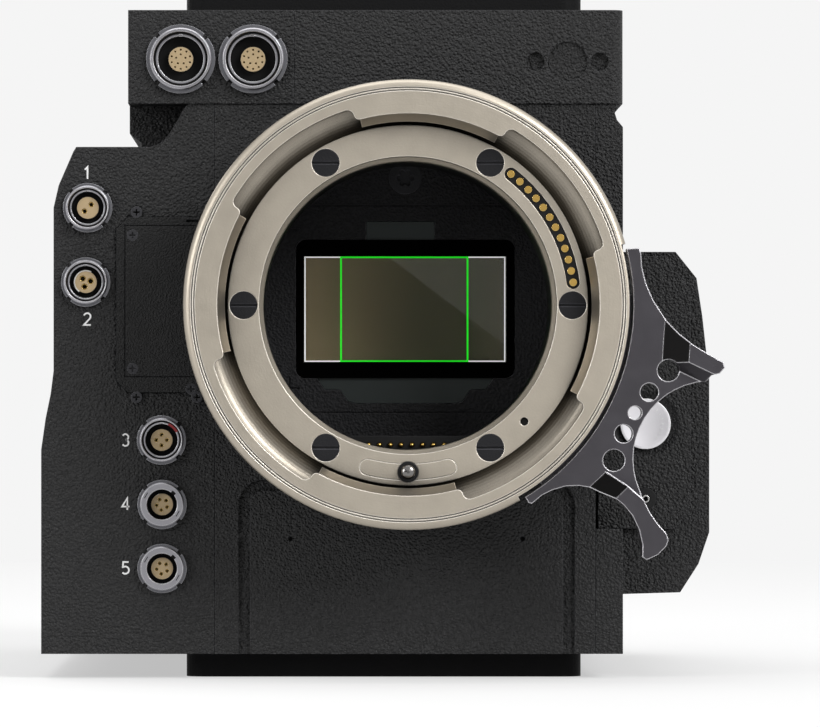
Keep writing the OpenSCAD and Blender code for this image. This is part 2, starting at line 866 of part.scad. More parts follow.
module lever_screws() color([0.3, 0.3, 0.31]) {
    lever_screw_holes(lever_screw_r);
}

// Throat block

module pogo_places() {
    for (i = [0:pogo_count - 1]) translate([(i - (pogo_count - 1) / 2) * pogo_pitch, 0, pogo_z]) children();
}

module throat_block() color([0.05, 0.05, 0.05]) {
    back = front_y + spigot_len - block_back_gap;
    difference() {
        block([-block_w / 2, back - block_t, block_low_z], [block_w / 2, back, block_top_z]);
        pogo_places() bar(pogo_r + fit, back - block_t - cut, back - fit);
    }
}

module throat_contacts() color([0.75, 0.6, 0.3]) {
    front = front_y + spigot_len - block_back_gap - block_t;
    pogo_places() domed_pin(pogo_r, pogo_r, front - pogo_rise, front + block_t - pogo_travel - seat_gap);
}

// Sensor stack

module filter_outline() {
    round_area(mask_w, mask_h, mask_round);
    area([filter_tab_x - filter_tab_w / 2, 0], [filter_tab_x + filter_tab_w / 2, mask_h / 2 + filter_tab_h]);
    polygon(concat([for (p = filter_foot_shares) [p.x * mask_w, -mask_h / 2 - p.y * filter_foot_h]],
        [[mask_w / 4, 0], [-mask_w / 4, 0]]));
}

module sensor_window() {
    area([-window_w / 2, -window_h / 2], [window_w / 2, window_h / 2]);
}

module corner_mark(x, z, side) {
    block([x, bezel_y - cut, z - corner_mark_w / 2], [x + corner_mark_l, bezel_y + seam_groove_depth, z + corner_mark_w / 2]);
    block([x, bezel_y - cut, z], [x + corner_mark_w, bezel_y + seam_groove_depth, z + side * corner_mark_l]);
}

module sensor_bezel() color([0.1, 0.1, 0.105]) {
    half = bezel_w / 2 - seat_gap;
    difference() {
        block([-half, bezel_y, -half], [half, bezel_y + bezel_t, half]);
        slab(bezel_y - cut, bezel_y + bezel_t + cut) offset(delta = seat_gap) filter_outline();
        for (z = [seam_top_z, seam_low_z]) block([-half - cut, bezel_y - cut, z], [half + cut, bezel_y + seam_groove_depth, z + seam_groove_w]);
        translate([0, 0, star_screw_z]) bar(star_screw_r + fit, bezel_y - cut, bezel_y + bezel_t * 0.8);
        for (z = [-1, 1]) corner_mark(-corner_mark_x - corner_mark_l, z * corner_mark_z, 1);
    }
}

module bezel_screw() color([0.09, 0.09, 0.09]) {
    translate([0, bezel_y, star_screw_z]) difference() {
        bar(star_screw_r, fit, bezel_t * 0.8);
        bar(star_core_r, -cut, star_depth);
        for (i = [0:5]) rotate([0, i * 60, 0]) translate([star_core_r, 0, 0]) bar(star_lobe_r, -cut, star_depth);
    }
}

module filter_frame() color([0.15, 0.165, 0.16]) {
    slab(bezel_y + mask_t, bezel_y + bezel_t) difference() {
        filter_outline();
        sensor_window();
    }
}

module sensor_mask() color([0.02, 0.02, 0.02]) {
    slab(bezel_y, bezel_y + mask_t) difference() {
        round_area(mask_w, mask_h, mask_round);
        sensor_window();
    }
}

module cover_glass() color([0.35, 0.36, 0.33, 0.5]) {
    front = bezel_y + bezel_t;
    block([-glass_w / 2, front, -glass_h / 2], [glass_w / 2, front + glass_t, glass_h / 2]);
}

module sensor_carrier() color([0.5, 0.5, 0.52]) {
    front = bezel_y + bezel_t;
    slab(front, flange_focal + sensor_t) difference() {
        round_area(carrier_w, carrier_h, mask_round);
        area([-glass_w / 2 - seat_gap, -glass_h / 2 - seat_gap], [glass_w / 2 + seat_gap, glass_h / 2 + seat_gap]);
    }
}

module image_sensor() color([0.22, 0.22, 0.17]) {
    block([-glass_w / 2, flange_focal, -glass_h / 2], [glass_w / 2, flange_focal + sensor_t, glass_h / 2]);
}

module sensor_board() color([0.05, 0.25, 0.15]) {
    front = flange_focal + sensor_t;
    slab(front, front + board_t) round_area(board_w, board_h, mask_round);
}

module heat_sink() color([0.7, 0.7, 0.72]) {
    front = flange_focal + sensor_t + board_t;
    pitch = (sink_w - fin_t) / (fin_count - 1);
    block([-sink_w / 2, front, -sink_h / 2], [sink_w / 2, front + sink_t, sink_h / 2]);
    for (i = [0:fin_count - 1])
        block([i * pitch - sink_w / 2, front + sink_t, -sink_h / 2], [i * pitch - sink_w / 2 + fin_t, front + sink_t + fin_l, sink_h / 2]);
}

// Body shells

module front_frame() color([0.15, 0.15, 0.155]) {
    half = bezel_w / 2;
    spigot_back = front_y + spigot_len;
    inner_x = u_groove_x - u_groove_w / 2;
    difference() {
        block([seat_gap - seam_w, front_y, -drop_z], [strip_in_w - seat_gap, frame_back_y, upper_z - seat_gap]);
        bar(spigot_r + fit, front_y - cut, spigot_back + cut);
        block([-half, spigot_back, -half], [half, frame_back_y + cut, half]);
        block([wall - seam_w, front_y + wall, wall - drop_z], [strip_in_w - wall, frame_back_y + cut, -half - wall]);
        slab(front_y - cut, front_y + u_groove_depth) difference() {
            u_shape(u_groove_w / 2);
            u_shape(-u_groove_w / 2);
        }
        for (side = [-1, 1]) translate([side * dimple_x, 0, dimple_z]) bar(dimple_r, front_y - cut, front_y + 2 * u_groove_depth);
    }
}

// The outline of the groove's middle line, grown by an amount, open below the frame
module u_shape(grow) {
    x = u_groove_x + grow;
    z = u_groove_z + grow;
    r = u_groove_round + grow;
    area([-x, -drop_z - cut], [x, z - r]);
    area([r - x, -drop_z - cut], [x - r, z]);
    for (side = [-1, 1]) translate([side * (x - r), z - r]) circle(r = r, $fn = 48);
}

module side_outline() {
    polygon(concat(
        [for (p = side_shares) [-p.x * side_w, p.y * (p.y < 0 ? drop_z : shoulder_z)]],
        [for (p = neck_shares) [-neck_x + p.x * (neck_x - neck_top_x), shoulder_z + p.y * neck_h]],
        [[-seam_w, upper_z], [-seam_w, -drop_z]]));
}

module connector_cover() color([0.15, 0.15, 0.155]) {
    side_x = side_w * side_shares[5].x;
    door_back = door_y + door_l / 2;
    difference() {
        slab(front_y, back_y) side_outline();
        slab(front_y + wall, back_y - wall) offset(delta = -wall) side_outline();
        for (p = small_places) translate([p.x, 0, p.y]) bar(small_nut_r * shell_out_share + fit, front_y - cut, front_y + socket_depth + cut);
        slab(front_y - cut, front_y + access_rise) access_outline(seat_gap);
        for (p = access_screw_shares) translate([access_screw_x(p.x), 0, access_z(p.y)]) bar(panel_screw_r + fit, front_y - cut, front_y + panel_screw_len);
        translate([0, fan_y, 0]) side_bar(grille_r + seat_gap, -side_w - cut, -side_x + wall + cut);
        block([-side_w - cut, door_y - door_l / 2, door_mid_z - door_h / 2], [-side_x + wall + cut, door_back, door_mid_z + door_h / 2]);
        translate([-side_x - knuckle_out, door_back + hinge_back, door_mid_z - door_h / 2])
            cylinder(r = knuckle_r + 2 * door_gap, h = door_h, $fn = 48);
        block([-side_w - cut, door_back - cut, door_mid_z - knuckle_l / 2 - door_gap],
            [-side_x + knuckle_out, door_back + hinge_back, door_mid_z + knuckle_l / 2 + door_gap]);
        for (z = video_places) translate([video_x, 0, z]) bar(video_r + fit, back_y - wall - cut, back_y + cut);
        block([video_x - switch_w / 2 - switch_gap, back_y - wall - cut, switch_z - switch_h / 2 - switch_gap],
            [video_x + switch_w / 2 + switch_gap, back_y + cut, switch_z + switch_h / 2 + switch_gap]);
    }
    for (end = [-1, 1]) hinge_knuckle(end * (door_h - knuckle_l) / 2);
}

// One barrel of the door's hinge, joined to the cover behind it
module hinge_knuckle(z) {
    side_x = side_w * side_shares[5].x;
    hinge_y = door_y + door_l / 2 + hinge_back;
    translate([-side_x - knuckle_out, hinge_y, door_mid_z + z - knuckle_l / 2]) difference() {
        union() {
            cylinder(r = knuckle_r, h = knuckle_l, $fn = 48);
            block([-knuckle_r, 0, 0], [knuckle_out + door_t, hinge_back, knuckle_l]);
        }
        translate([0, 0, -cut]) cylinder(r = hinge_pin_r + fit, h = knuckle_l + 2 * cut, $fn = 48);
    }
}

function access_screw_x(share) = -seam_w - share * (access_x - seam_w);
function access_z(share) = share > 0 ? access_top_z * share : -access_low_z * share;

module access_outline(gap) {
    x = access_x + gap;
    right_x = -seam_w - seat_gap + gap;
    top = access_top_z + gap;
    low = access_low_z - gap;
    polygon([[-x, low + access_corner], [access_corner - x, low], [right_x, low], [right_x, top],
        [access_corner - x, top], [-x, top - access_corner]]);
}

module access_panel() color([0.13, 0.13, 0.135]) {
    x = access_x - access_inner_inset;
    low = access_low_z + access_inner_low;
    top = access_top_z - access_inner_inset;
    slot_z = access_top_z - access_inner_inset / 2;
    difference() {
        slab(front_y - access_rise, front_y + access_rise) access_outline(0);
        slab(front_y - access_rise - cut, front_y - access_rise + seam_groove_depth) difference() {
            area([-x, low], [cut - seam_w, top]);
            area([seam_groove_w - x, low + seam_groove_w], [cut - seam_w, top - seam_groove_w]);
        }
        for (p = access_screw_shares) translate([access_screw_x(p.x), 0, access_z(p.y)])
            bar(panel_screw_r + fit, front_y - access_rise - cut, front_y + access_rise + cut);
        bar(base_r + run_gap, front_y - access_rise - cut, front_y + access_rise + cut);
        block([-access_slot_x - pad_w, front_y - access_rise - cut, slot_z - seam_groove_w], [-access_slot_x, front_y, slot_z + seam_groove_w]);
    }
}

module panel_screws() color([0.45, 0.45, 0.46]) {
    head = front_y - access_rise;
    for (p = access_screw_shares) translate([access_screw_x(p.x), 0, access_z(p.y)]) difference() {
        bar(panel_screw_r, head, front_y + panel_screw_len);
        bar(panel_screw_r * 0.45, head - cut, head + panel_screw_r);
    }
}

module upper_outline(left, right) {
    area([left, upper_z], [right, top_z]);
}

module connector_panel() color([0.15, 0.15, 0.155]) {
    difference() {
        slab(front_y - panel_rise, front_y + panel_t) upper_outline(-upper_w, -panel_seam_w - seat_gap);
        for (p = large_places) translate([p.x, 0, p.y])
            bar(large_nut_r * shell_out_share + fit, front_y - panel_rise - cut, front_y + panel_t + cut);
    }
}

module upper_front_cover() color([0.15, 0.15, 0.155]) {
    face = front_y - panel_rise;
    difference() {
        union() {
            slab(face, front_y + panel_t) upper_outline(-panel_seam_w, strip_w - corner_bead_r);
            block([strip_w - corner_bead_r - cut, face + corner_bead_r, upper_z], [strip_w, front_y + panel_t, top_z]);
            translate([strip_w - corner_bead_r, face + corner_bead_r, upper_z]) cylinder(r = corner_bead_r, h = top_z - upper_z, $fn = 48);
        }
        bar(base_r + run_gap, face - cut, front_y);
        translate([top_knob_x, 0, top_knob_z]) {
            bar(top_knob_r, face - cut, face + top_knob_depth);
            for (side = [-1, 1]) translate([side * top_eye_step, 0, 0]) bar(top_eye_r, face - cut, face + 2 * top_knob_depth);
        }
    }
}

module upper_housing() color([0.12, 0.12, 0.125]) {
    front = front_y + panel_t;
    under_x = upper_w - under_chamfer;
    depth = upper_z - shoulder_z;
    difference() {
        union() {
            slab(front, back_y) upper_outline(-upper_w, strip_w);
            slab(under_shoulder_y, back_y) polygon([[-upper_w, upper_z + cut], [-upper_w, upper_z - under_low_shares[0] * depth - under_chamfer],
                [-under_x, upper_z - under_low_shares[1] * depth], [-under_x, shoulder_z + seat_gap], [-neck_top_x, shoulder_z + seat_gap],
                [-neck_top_x, upper_z + cut]]);
        }
        block([wall - upper_w, front + wall, upper_z + wall], [strip_w - wall, back_y - wall, top_z - wall]);
        slab(front_y, back_y + cut) offset(delta = seat_gap) side_outline();
        for (p = large_places) translate([p.x, 0, p.y]) bar(large_nut_r * shell_out_share + fit, front - cut, front + wall + cut);
    }
}

module plate_outline() {
    hull() for (x = [plate_round - plate_edge_w, plate_right_w - plate_round], y = [plate_front_y + plate_round, plate_back_y - plate_round])
        translate([x, y]) circle(r = plate_round, $fn = 32);
}

module thread_holes(r_large, r_small) {
    for (i = [0, 1]) {
        translate([0, thread_front_y + i * thread_pitch, -cut]) cylinder(r = r_large, h = plate_t + 2 * cut, $fn = 64);
        translate([0, thread_front_y + i * thread_pitch + small_thread_step, -cut]) cylinder(r = r_small, h = plate_t + 2 * cut, $fn = 64);
    }
}

module top_plate() color([0.14, 0.14, 0.145]) {
    translate([0, 0, top_z]) difference() {
        linear_extrude(height = plate_t) plate_outline();
        thread_holes(large_thread_r, small_thread_r);
    }
}

module base_plate() color([0.14, 0.14, 0.145]) {
    translate([0, 0, -drop_z - plate_t]) difference() {
        linear_extrude(height = plate_t) plate_outline();
        thread_holes(large_thread_r, small_thread_r);
        for (i = [0, 1]) translate([0, thread_front_y + i * thread_pitch - small_thread_step, -cut])
            cylinder(r = base_key_r, h = plate_t / 2 + cut, $fn = 48);
    }
}

module chassis() color([0.3, 0.3, 0.31]) {
    difference() {
        block([seat_gap - seam_w, frame_back_y, -drop_z], [strip_in_w - seat_gap, chassis_back_y, upper_z - seat_gap]);
        block([wall - seam_w, frame_back_y - cut, wall - drop_z], [strip_in_w - wall, chassis_back_y + cut, upper_z - wall]);
    }
}

module processor_board() color([0.05, 0.25, 0.15]) {
    lo = [wall - seam_w + seat_gap, wall - drop_z + seat_gap];
    hi = [strip_in_w - wall - seat_gap, upper_z - wall - seat_gap];
    block([lo.x, processor_y, lo.y], [hi.x, processor_y + board_t, hi.y]);
    for (x = [-1, 1], z = [-2, 0]) block([x * chip_w - chip_w / 2, processor_y - chip_t, (z - 1 / 2) * chip_w],
        [x * chip_w + chip_w / 2, processor_y, (z + 1 / 2) * chip_w]);
}

// Fan, its frame and the grille in front of it

module fan_frame() color([0.07, 0.07, 0.07]) {
    out_x = wall - side_w * side_shares[5].x;
    in_x = out_x + fan_frame_t;
    half = fan_frame_w / 2;
    translate([0, fan_y, 0]) difference() {
        union() {
            difference() {
                intersection() {
                    block([out_x, -half, -half], [in_x, half, half]);
                    slab(-half - cut, half + cut) offset(delta = -wall - seat_gap) side_outline();
                }
                side_bar(fan_r + fan_gap, out_x - cut, in_x - wall / 2);
            }
            side_bar(fan_shaft_r, out_x + fan_inset, in_x);
        }
        for (i = [0:3]) rotate([i * 90, 0, 0]) block([in_x - wall, fan_hub_r / 2, fan_hub_r / 2], [in_x + cut, fan_r * 0.6, fan_r * 0.6]);
    }
}

module fan_rotor() color([0.1, 0.1, 0.105]) {
    out_x = wall - side_w * side_shares[5].x + fan_inset;
    in_x = out_x + fan_frame_t - wall - fan_inset;
    mid_x = (out_x + in_x) / 2;
    translate([0, fan_y, 0]) difference() {
        union() {
            side_bar(fan_hub_r, out_x, in_x);
            intersection() {
                side_bar(fan_r, out_x, in_x);
                for (i = [0:blade_count - 1]) rotate([i * 360 / blade_count, 0, 0]) translate([mid_x, 0, 0])
                    rotate([0, 0, blade_pitch]) block([-blade_l / 2 - blade_t, -blade_t / 2, fan_hub_r / 2], [blade_l / 2 + blade_t, blade_t / 2, fan_r + cut]);
            }
        }
        side_bar(fan_shaft_r + fit, out_x - cut, in_x + cut);
    }
}

module fan_grille() color([0.12, 0.12, 0.12]) {
    in_x = wall - side_w * side_shares[5].x - seat_gap;
    pitch = grille_r / grille_rings;
    translate([in_x, fan_y, 0]) rotate([0, -90, 0]) linear_extrude(height = grille_t) {
        for (i = [1:grille_rings]) difference() {
            circle(r = i * pitch, $fn = fine);
            circle(r = i * pitch - grille_bar_w, $fn = fine);
        }
        for (i = [0:grille_spokes / 2 - 1]) rotate(i * 360 / grille_spokes) square([2 * (grille_r - grille_bar_w / 2), grille_bar_w], center = true);
    }
}

// Media bay, door and hinge pin

module media_bay() color([0.1, 0.1, 0.1]) {
    out_x = wall - side_w * side_shares[5].x;
    half_h = bay_slot_h / 2;
    difference() {
        block([out_x, door_y - bay_l / 2 - bay_wall, door_mid_z - half_h - bay_wall],
            [out_x + bay_depth, door_y + bay_l / 2 + bay_wall, door_mid_z + half_h + bay_wall]);
        block([out_x - cut, door_y - card_slot_l / 2, door_mid_z - half_h],
            [out_x + bay_depth - bay_wall, door_y + card_slot_l / 2, door_mid_z + half_h]);
    }
}

module media_door() color([0.15, 0.15, 0.155]) {
    side_x = side_w * side_shares[5].x;
    front = door_y - door_l / 2 + door_gap;
    back = door_y + door_l / 2 - door_gap;
    hinge_y = door_y + door_l / 2 + hinge_back;
    half = knuckle_l / 2;
    out_x = -side_x + door_sink;
    difference() {
        union() {
            block([out_x, front, door_mid_z - door_h / 2 + door_gap], [out_x + door_t, back, door_mid_z + door_h / 2 - door_gap]);
            block([out_x, back - cut, door_mid_z - half], [out_x + knuckle_out / 2, hinge_y - knuckle_r / 2, door_mid_z + half]);
            translate([-side_x - knuckle_out, hinge_y, door_mid_z - half]) cylinder(r = knuckle_r, h = knuckle_l, $fn = 48);
        }
        translate([-side_x - knuckle_out, hinge_y, door_mid_z - half - cut]) cylinder(r = hinge_pin_r + fit, h = knuckle_l + 2 * cut, $fn = 48);
        translate([0, front + 2 * knuckle_r, door_mid_z]) side_bar(2 * knuckle_r, out_x - cut, out_x + door_t / 3);
    }
}

module door_pin() color([0.7, 0.7, 0.72]) {
    side_x = side_w * side_shares[5].x;
    translate([-side_x - knuckle_out, door_y + door_l / 2 + hinge_back, door_mid_z - door_h / 2]) cylinder(r = hinge_pin_r, h = door_h, $fn = 48);
}

// Operator side

module strip_outline() {
    run = strip_w - strip_in_w;
    polygon(concat([[strip_in_w, -drop_z], [strip_w, -drop_z]],
        [for (p = notch_shares) [strip_w + p.x * run, p.y * upper_z]],
        [[strip_in_w, upper_z]]));
}

module hump_outline() {
    reach = hump_w - strip_w;
    polygon(concat([[strip_in_w, hump_shares[0].y * drop_z]],
        [for (p = hump_shares) [strip_w + p.x * reach, p.y * drop_z]],
        [[hump_w, display_mid_z + display_h * 0.62]],
        [for (p = hump_top_shares) if (p.y > -0.3) [strip_w + p.x * reach, p.y * upper_z]],
        [[strip_in_w, hump_top_shares[4].y * upper_z]]));
}

module button_panel_outline(gap) {
    reach = hump_w - button_panel_edge_x;
    offset(delta = gap) polygon([for (p = button_panel_shares) [button_panel_edge_x + p.x * reach, p.y * drop_z]]);
}

module operator_cover() color([0.15, 0.15, 0.155]) {
    face = front_y + hump_front_step;
    reach = hump_w - wall;
    low = button_panel_shares[0].y * drop_z;
    high = hump_top_shares[4].y * upper_z;
    difference() {
        union() {
            slab(front_y, back_y) strip_outline();
            slab(face, hump_back_y) hump_outline();
        }
        block([strip_in_w - cut, front_y - cut, low], [strip_w + cut, face, high]);
        slab(face - cut, face + button_panel_t - button_panel_rise) button_panel_outline(seat_gap);
        slab(face + button_panel_t + wall, hump_back_y - wall) intersection() {
            offset(delta = -wall) hump_outline();
            area([strip_in_w + wall, -drop_z], [hump_w, upper_z]);
        }
        translate([record_x, 0, record_z]) bar(record_r + 2 * fit, face, face + button_panel_t - button_panel_rise + record_travel + run_gap);
        block([hump_w - display_t - display_sink - seat_gap, display_y - display_w / 2 - seat_gap, display_mid_z - display_h / 2 - seat_gap],
            [hump_w + cut, display_y + display_w / 2 + seat_gap, display_mid_z + display_h / 2 + seat_gap]);
        for (z = menu_places) translate([0, menu_y, z]) side_bar(menu_r + 2 * fit, hump_w - menu_len - menu_travel - run_gap, hump_w + cut);
        translate([0, jog_y, display_mid_z]) side_bar(jog_shaft_r + fit, reach - cut, hump_w + cut);
    }
}

module button_panel() color([0.16, 0.16, 0.165]) {
    front = front_y + hump_front_step - button_panel_rise;
    difference() {
        slab(front, front + button_panel_t) button_panel_outline(0);
        translate([record_x, 0, record_z]) {
            bar(record_r + 2 * fit, front - cut, front + button_panel_t + cut);
            translate([0, front - cut, 0]) rotate([-90, 0, 0])
                cylinder(r1 = record_bowl_r + cut, r2 = record_r, h = record_bowl_depth + cut, $fn = fine);
        }
        translate([record_x, 0, jack_z]) bar(jack_r + fit, front - cut, front + button_panel_t + cut);
    }
}

module record_button() color([0.78, 0.77, 0.8]) {
    front = front_y + hump_front_step - button_panel_rise - record_rise + record_bowl_depth;
    rim_r = record_r - record_dish_depth;
    dish_r = (rim_r * rim_r / record_dish_depth + record_dish_depth) / 2;
    translate([record_x, 0, record_z]) difference() {
        bar(record_r, front, front_y + hump_front_step + button_panel_t - button_panel_rise - fit);
        translate([0, front + record_dish_depth - dish_r, 0]) sphere(r = dish_r, $fn = fine);
    }
}

module remote_jack() color([0.04, 0.04, 0.04]) {
    front = front_y + hump_front_step - button_panel_rise;
    translate([record_x, 0, jack_z]) difference() {
        bar(jack_r, front - jack_rise, front + jack_len);
        bar(jack_bore_r, front - jack_rise - cut, front + jack_len - jack_bore_r);
    }
}

module display_glass() color([0.1, 0.12, 0.14, 0.6]) {
    block([hump_w - display_t - display_sink, display_y - display_w / 2, display_mid_z - display_h / 2],
        [hump_w - display_sink, display_y + display_w / 2, display_mid_z + display_h / 2]);
}

module menu_button(z) {
    translate([0, menu_y, z]) side_bar(menu_r, hump_w - menu_len, hump_w + menu_rise);
}

module menu_button_upper() color([0.25, 0.25, 0.26]) menu_button(menu_places[0]);

module menu_button_middle() color([0.25, 0.25, 0.26]) menu_button(menu_places[1]);

module menu_button_lower() color([0.25, 0.25, 0.26]) menu_button(menu_places[2]);

module jog_dial() color([0.2, 0.2, 0.205]) {
    base_x = hump_w + jog_gap;
    translate([0, jog_y, display_mid_z]) {
        difference() {
            side_bar(jog_r, base_x, base_x + jog_t);
            for (i = [0:jog_flutes - 1]) rotate([i * 360 / jog_flutes, 0, 0]) translate([0, jog_r, 0]) side_bar(jog_flute_r, base_x - cut, base_x + jog_t + cut);
        }
        side_bar(jog_shaft_r, hump_w - jog_shaft_len, base_x + cut);
    }
}

// Rear

module rear_panel() color([0.15, 0.15, 0.155]) {
    difference() {
        slab(back_y, back_y + rear_t) offset(delta = -wall / 2) {
            side_outline();
            strip_outline();
            area([-seam_w - cut, -drop_z], [strip_w, top_z]);
            upper_outline(-upper_w, strip_w);
        }
        for (z = video_places) translate([video_x, 0, z]) bar(video_r + fit, back_y - cut, back_y + rear_t + cut);
        block([video_x - switch_w / 2 - switch_gap, back_y - cut, switch_z - switch_h / 2 - switch_gap],
            [video_x + switch_w / 2 + switch_gap, back_y + rear_t + cut, switch_z + switch_h / 2 + switch_gap]);
    }
}

module video_sockets() color([0.75, 0.75, 0.76]) {
    face = back_y + rear_t;
    for (z = video_places) translate([video_x, 0, z]) difference() {
        union() {
            bar(video_r, back_y - wall, face + video_len);
            bar(video_foot_r, face, face + video_foot_t);
            for (side = [-1, 1]) translate([side * video_r, face + video_len - wall, 0]) side_bar(video_lug_r, -video_lug_r, video_lug_r);
        }
        difference() {
            bar(video_bore_r, face - wall, face + video_len + cut);
            bar(video_lug_r, face - wall, face + video_len - wall);
        }
    }
}

module power_switch() color([0.2, 0.2, 0.205]) {
    face = back_y + rear_t;
    half = switch_h / 2;
    hinge_y = face - switch_t / 2;
    difference() {
        translate([video_x - switch_w / 2, 0, switch_z]) rotate([90, 0, 90]) linear_extrude(height = switch_w)
            polygon([[face - switch_t, -half * 0.5], [face + switch_rise * 0.3, -half * 0.9], [face, 0], [face + switch_rise, half * 0.8],
                [face + switch_rise * 0.6, half * 0.92], [face - switch_t, half * 0.5]]);
        translate([0, hinge_y, switch_z]) side_bar(switch_pin_r + fit, video_x - switch_w, video_x + switch_w);
    }
}

module battery_plate() color([0.13, 0.13, 0.135]) {
    face = back_y + rear_t;
    back = face + battery_t;
    edge_x = battery_x + battery_w / 2;
    release_z = battery_mid_z + battery_h / 4;
    difference() {
        slab(face, back) translate([battery_x, battery_mid_z]) round_area(battery_w, battery_h, plate_round);
        for (x = [-1, 1], z = [-1, 1]) translate([battery_x + x * battery_slot_x, 0, battery_mid_z + z * battery_slot_z])
            block([-battery_slot_w / 2, back - battery_slot_depth, -battery_slot_h / 2], [battery_slot_w / 2, back + cut, battery_slot_h / 2]);
        for (i = [0:pad_count - 1]) pad_at(i, seat_gap, back);
        block([edge_x - release_w - release_travel, back - release_t, release_z - release_h / 2 - release_gap],
            [edge_x + cut, back + cut, release_z + release_h / 2 + release_gap]);
    }
}

module pad_at(i, gap, back) {
    x = battery_x + (i - (pad_count - 1) / 2) * pad_pitch;
    translate([x, 0, battery_mid_z]) block([-pad_w / 2 - gap, back - pad_t, -pad_h / 2 - gap], [pad_w / 2 + gap, back + (gap > 0 ? cut : pad_t / 2), pad_h / 2 + gap]);
}

module battery_contacts() color([0.75, 0.6, 0.3]) {
    for (i = [0:pad_count - 1]) pad_at(i, 0, back_y + rear_t + battery_t);
}

module battery_release() color([0.6, 0.12, 0.1]) {
    back = back_y + rear_t + battery_t;
    edge_x = battery_x + battery_w / 2;
    release_z = battery_mid_z + battery_h / 4;
    block([edge_x - release_w, back - release_t + release_gap, release_z - release_h / 2], [edge_x, back, release_z + release_h / 2]);
    block([edge_x - release_w / 2, back - cut, release_z - release_h / 4], [edge_x - release_w / 4, back + release_lift, release_z + release_h / 4]);
}

// Sockets: shell, slotted nut and insert

module socket_shell(r, back) {
    bore = r * shell_bore_share;
    face = socket_y - nut_rise * shell_rise_share;
    difference() {
        bar(r * shell_out_share, face, back);
        bar(bore, face - cut, back + cut);
        block([-keyway_w / 2, face - cut, 0], [keyway_w / 2, socket_y, r * (shell_bore_share + shell_out_share) / 2]);
    }
}

module socket_nut(r, face) {
    depth = r * nut_notch_depth_share;
    difference() {
        bar(r, face - nut_rise, face);
        bar(r * shell_out_share + fit, face - nut_rise - cut, face + cut);
        for (a = [0:90:270]) rotate([0, a, 0]) block([r - depth, face - nut_rise - cut, -nut_notch_w / 2], [r + cut, face - nut_rise / 3, nut_notch_w / 2]);
    }
}

module socket_insert(r, insert_r, back) {
    bore = r * shell_bore_share - fit;
    face = socket_y - nut_rise * insert_rise_share;
    bar(insert_r, face, back);
    bar(bore, back - insert_foot_len, back);
}

module pin_holes(count, ring_r, r, back) {
    face = socket_y - nut_rise;
    for (i = [0:count - 1]) around(ring_r, 90 + i * 360 / count) bar(r, face - cut, back);
}

module power_sockets() color([0.72, 0.72, 0.74]) {
    for (i = [0, 1]) translate([small_places[i].x, 0, small_places[i].y]) socket_shell(small_nut_r, socket_y + socket_depth);
}

module accessory_sockets() color([0.72, 0.72, 0.74]) {
    for (i = [2:4]) translate([small_places[i].x, 0, small_places[i].y]) socket_shell(small_nut_r, socket_y + socket_depth);
}

module data_sockets() color([0.72, 0.72, 0.74]) {
    for (p = large_places) translate([p.x, 0, p.y]) socket_shell(large_nut_r, socket_y + socket_depth);
}

module socket_nuts() color([0.72, 0.72, 0.74]) {
    for (p = small_places) translate([p.x, 0, p.y]) socket_nut(small_nut_r, socket_y);
    for (p = large_places) translate([p.x, 0, p.y]) socket_nut(large_nut_r, socket_y - panel_rise);
}

module socket_inserts() color([0.8, 0.73, 0.6]) {
    back = socket_y + socket_depth;
    hole_back = socket_y + socket_depth / 2;
    for (i = [0:4]) translate([small_places[i].x, 0, small_places[i].y]) difference() {
        socket_insert(small_nut_r, small_insert_r, back);
        pin_holes(small_pins[i], small_insert_r / 2, small_pin_r, hole_back);
    }
    for (p = large_places) translate([p.x, 0, p.y]) difference() {
        socket_insert(large_nut_r, large_insert_r, back);
        pin_holes(large_pins[0], large_insert_r * 0.4, large_pin_r, hole_back);
        pin_holes(large_pins[1], large_insert_r * 0.78, large_pin_r, hole_back);
    }
}

lens_flange();
flange_screws();
contact_insulator();
flange_contacts();
index_plate();
index_bush();
index_pin();
mount_base();
lock_ring();
lock_lever();
lever_screws();
throat_block();
throat_contacts();
sensor_bezel();
bezel_screw();
filter_frame();
sensor_mask();
cover_glass();
sensor_carrier();
image_sensor();
sensor_board();
heat_sink();
front_frame();
connector_cover();
access_panel();
panel_screws();
power_sockets();
accessory_sockets();
data_sockets();
socket_nuts();
socket_inserts();
connector_panel();
upper_front_cover();
upper_housing();
top_plate();
base_plate();
chassis();
processor_board();
fan_frame();
fan_rotor();
fan_grille();
media_bay();
media_door();
door_pin();
operator_cover();
button_panel();
record_button();
remote_jack();
display_glass();
menu_button_upper();
menu_button_middle();
menu_button_lower();
jog_dial();
rear_panel();
video_sockets();
power_switch();
battery_plate();
battery_contacts();
battery_release();
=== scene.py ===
"""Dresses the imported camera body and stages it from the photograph's viewpoint."""

import logging
import math
from collections.abc import Sequence
from dataclasses import dataclass, field
from enum import Enum

import bmesh
import bpy
from mathutils import Matrix, Vector


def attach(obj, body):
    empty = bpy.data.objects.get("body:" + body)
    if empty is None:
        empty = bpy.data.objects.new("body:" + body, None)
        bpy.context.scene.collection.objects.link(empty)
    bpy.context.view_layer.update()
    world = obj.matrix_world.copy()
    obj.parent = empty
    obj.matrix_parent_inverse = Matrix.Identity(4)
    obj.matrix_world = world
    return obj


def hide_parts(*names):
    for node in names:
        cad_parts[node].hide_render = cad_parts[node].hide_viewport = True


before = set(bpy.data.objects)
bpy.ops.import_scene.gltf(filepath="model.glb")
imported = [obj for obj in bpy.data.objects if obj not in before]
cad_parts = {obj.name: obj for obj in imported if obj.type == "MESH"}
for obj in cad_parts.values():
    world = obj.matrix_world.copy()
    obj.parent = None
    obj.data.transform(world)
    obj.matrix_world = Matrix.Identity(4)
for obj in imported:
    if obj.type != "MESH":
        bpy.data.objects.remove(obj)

LOG = logging.getLogger("camera_body")
MM = 0.001
FINE_DETAIL = 2.0
Tree = bpy.types.NodeTree
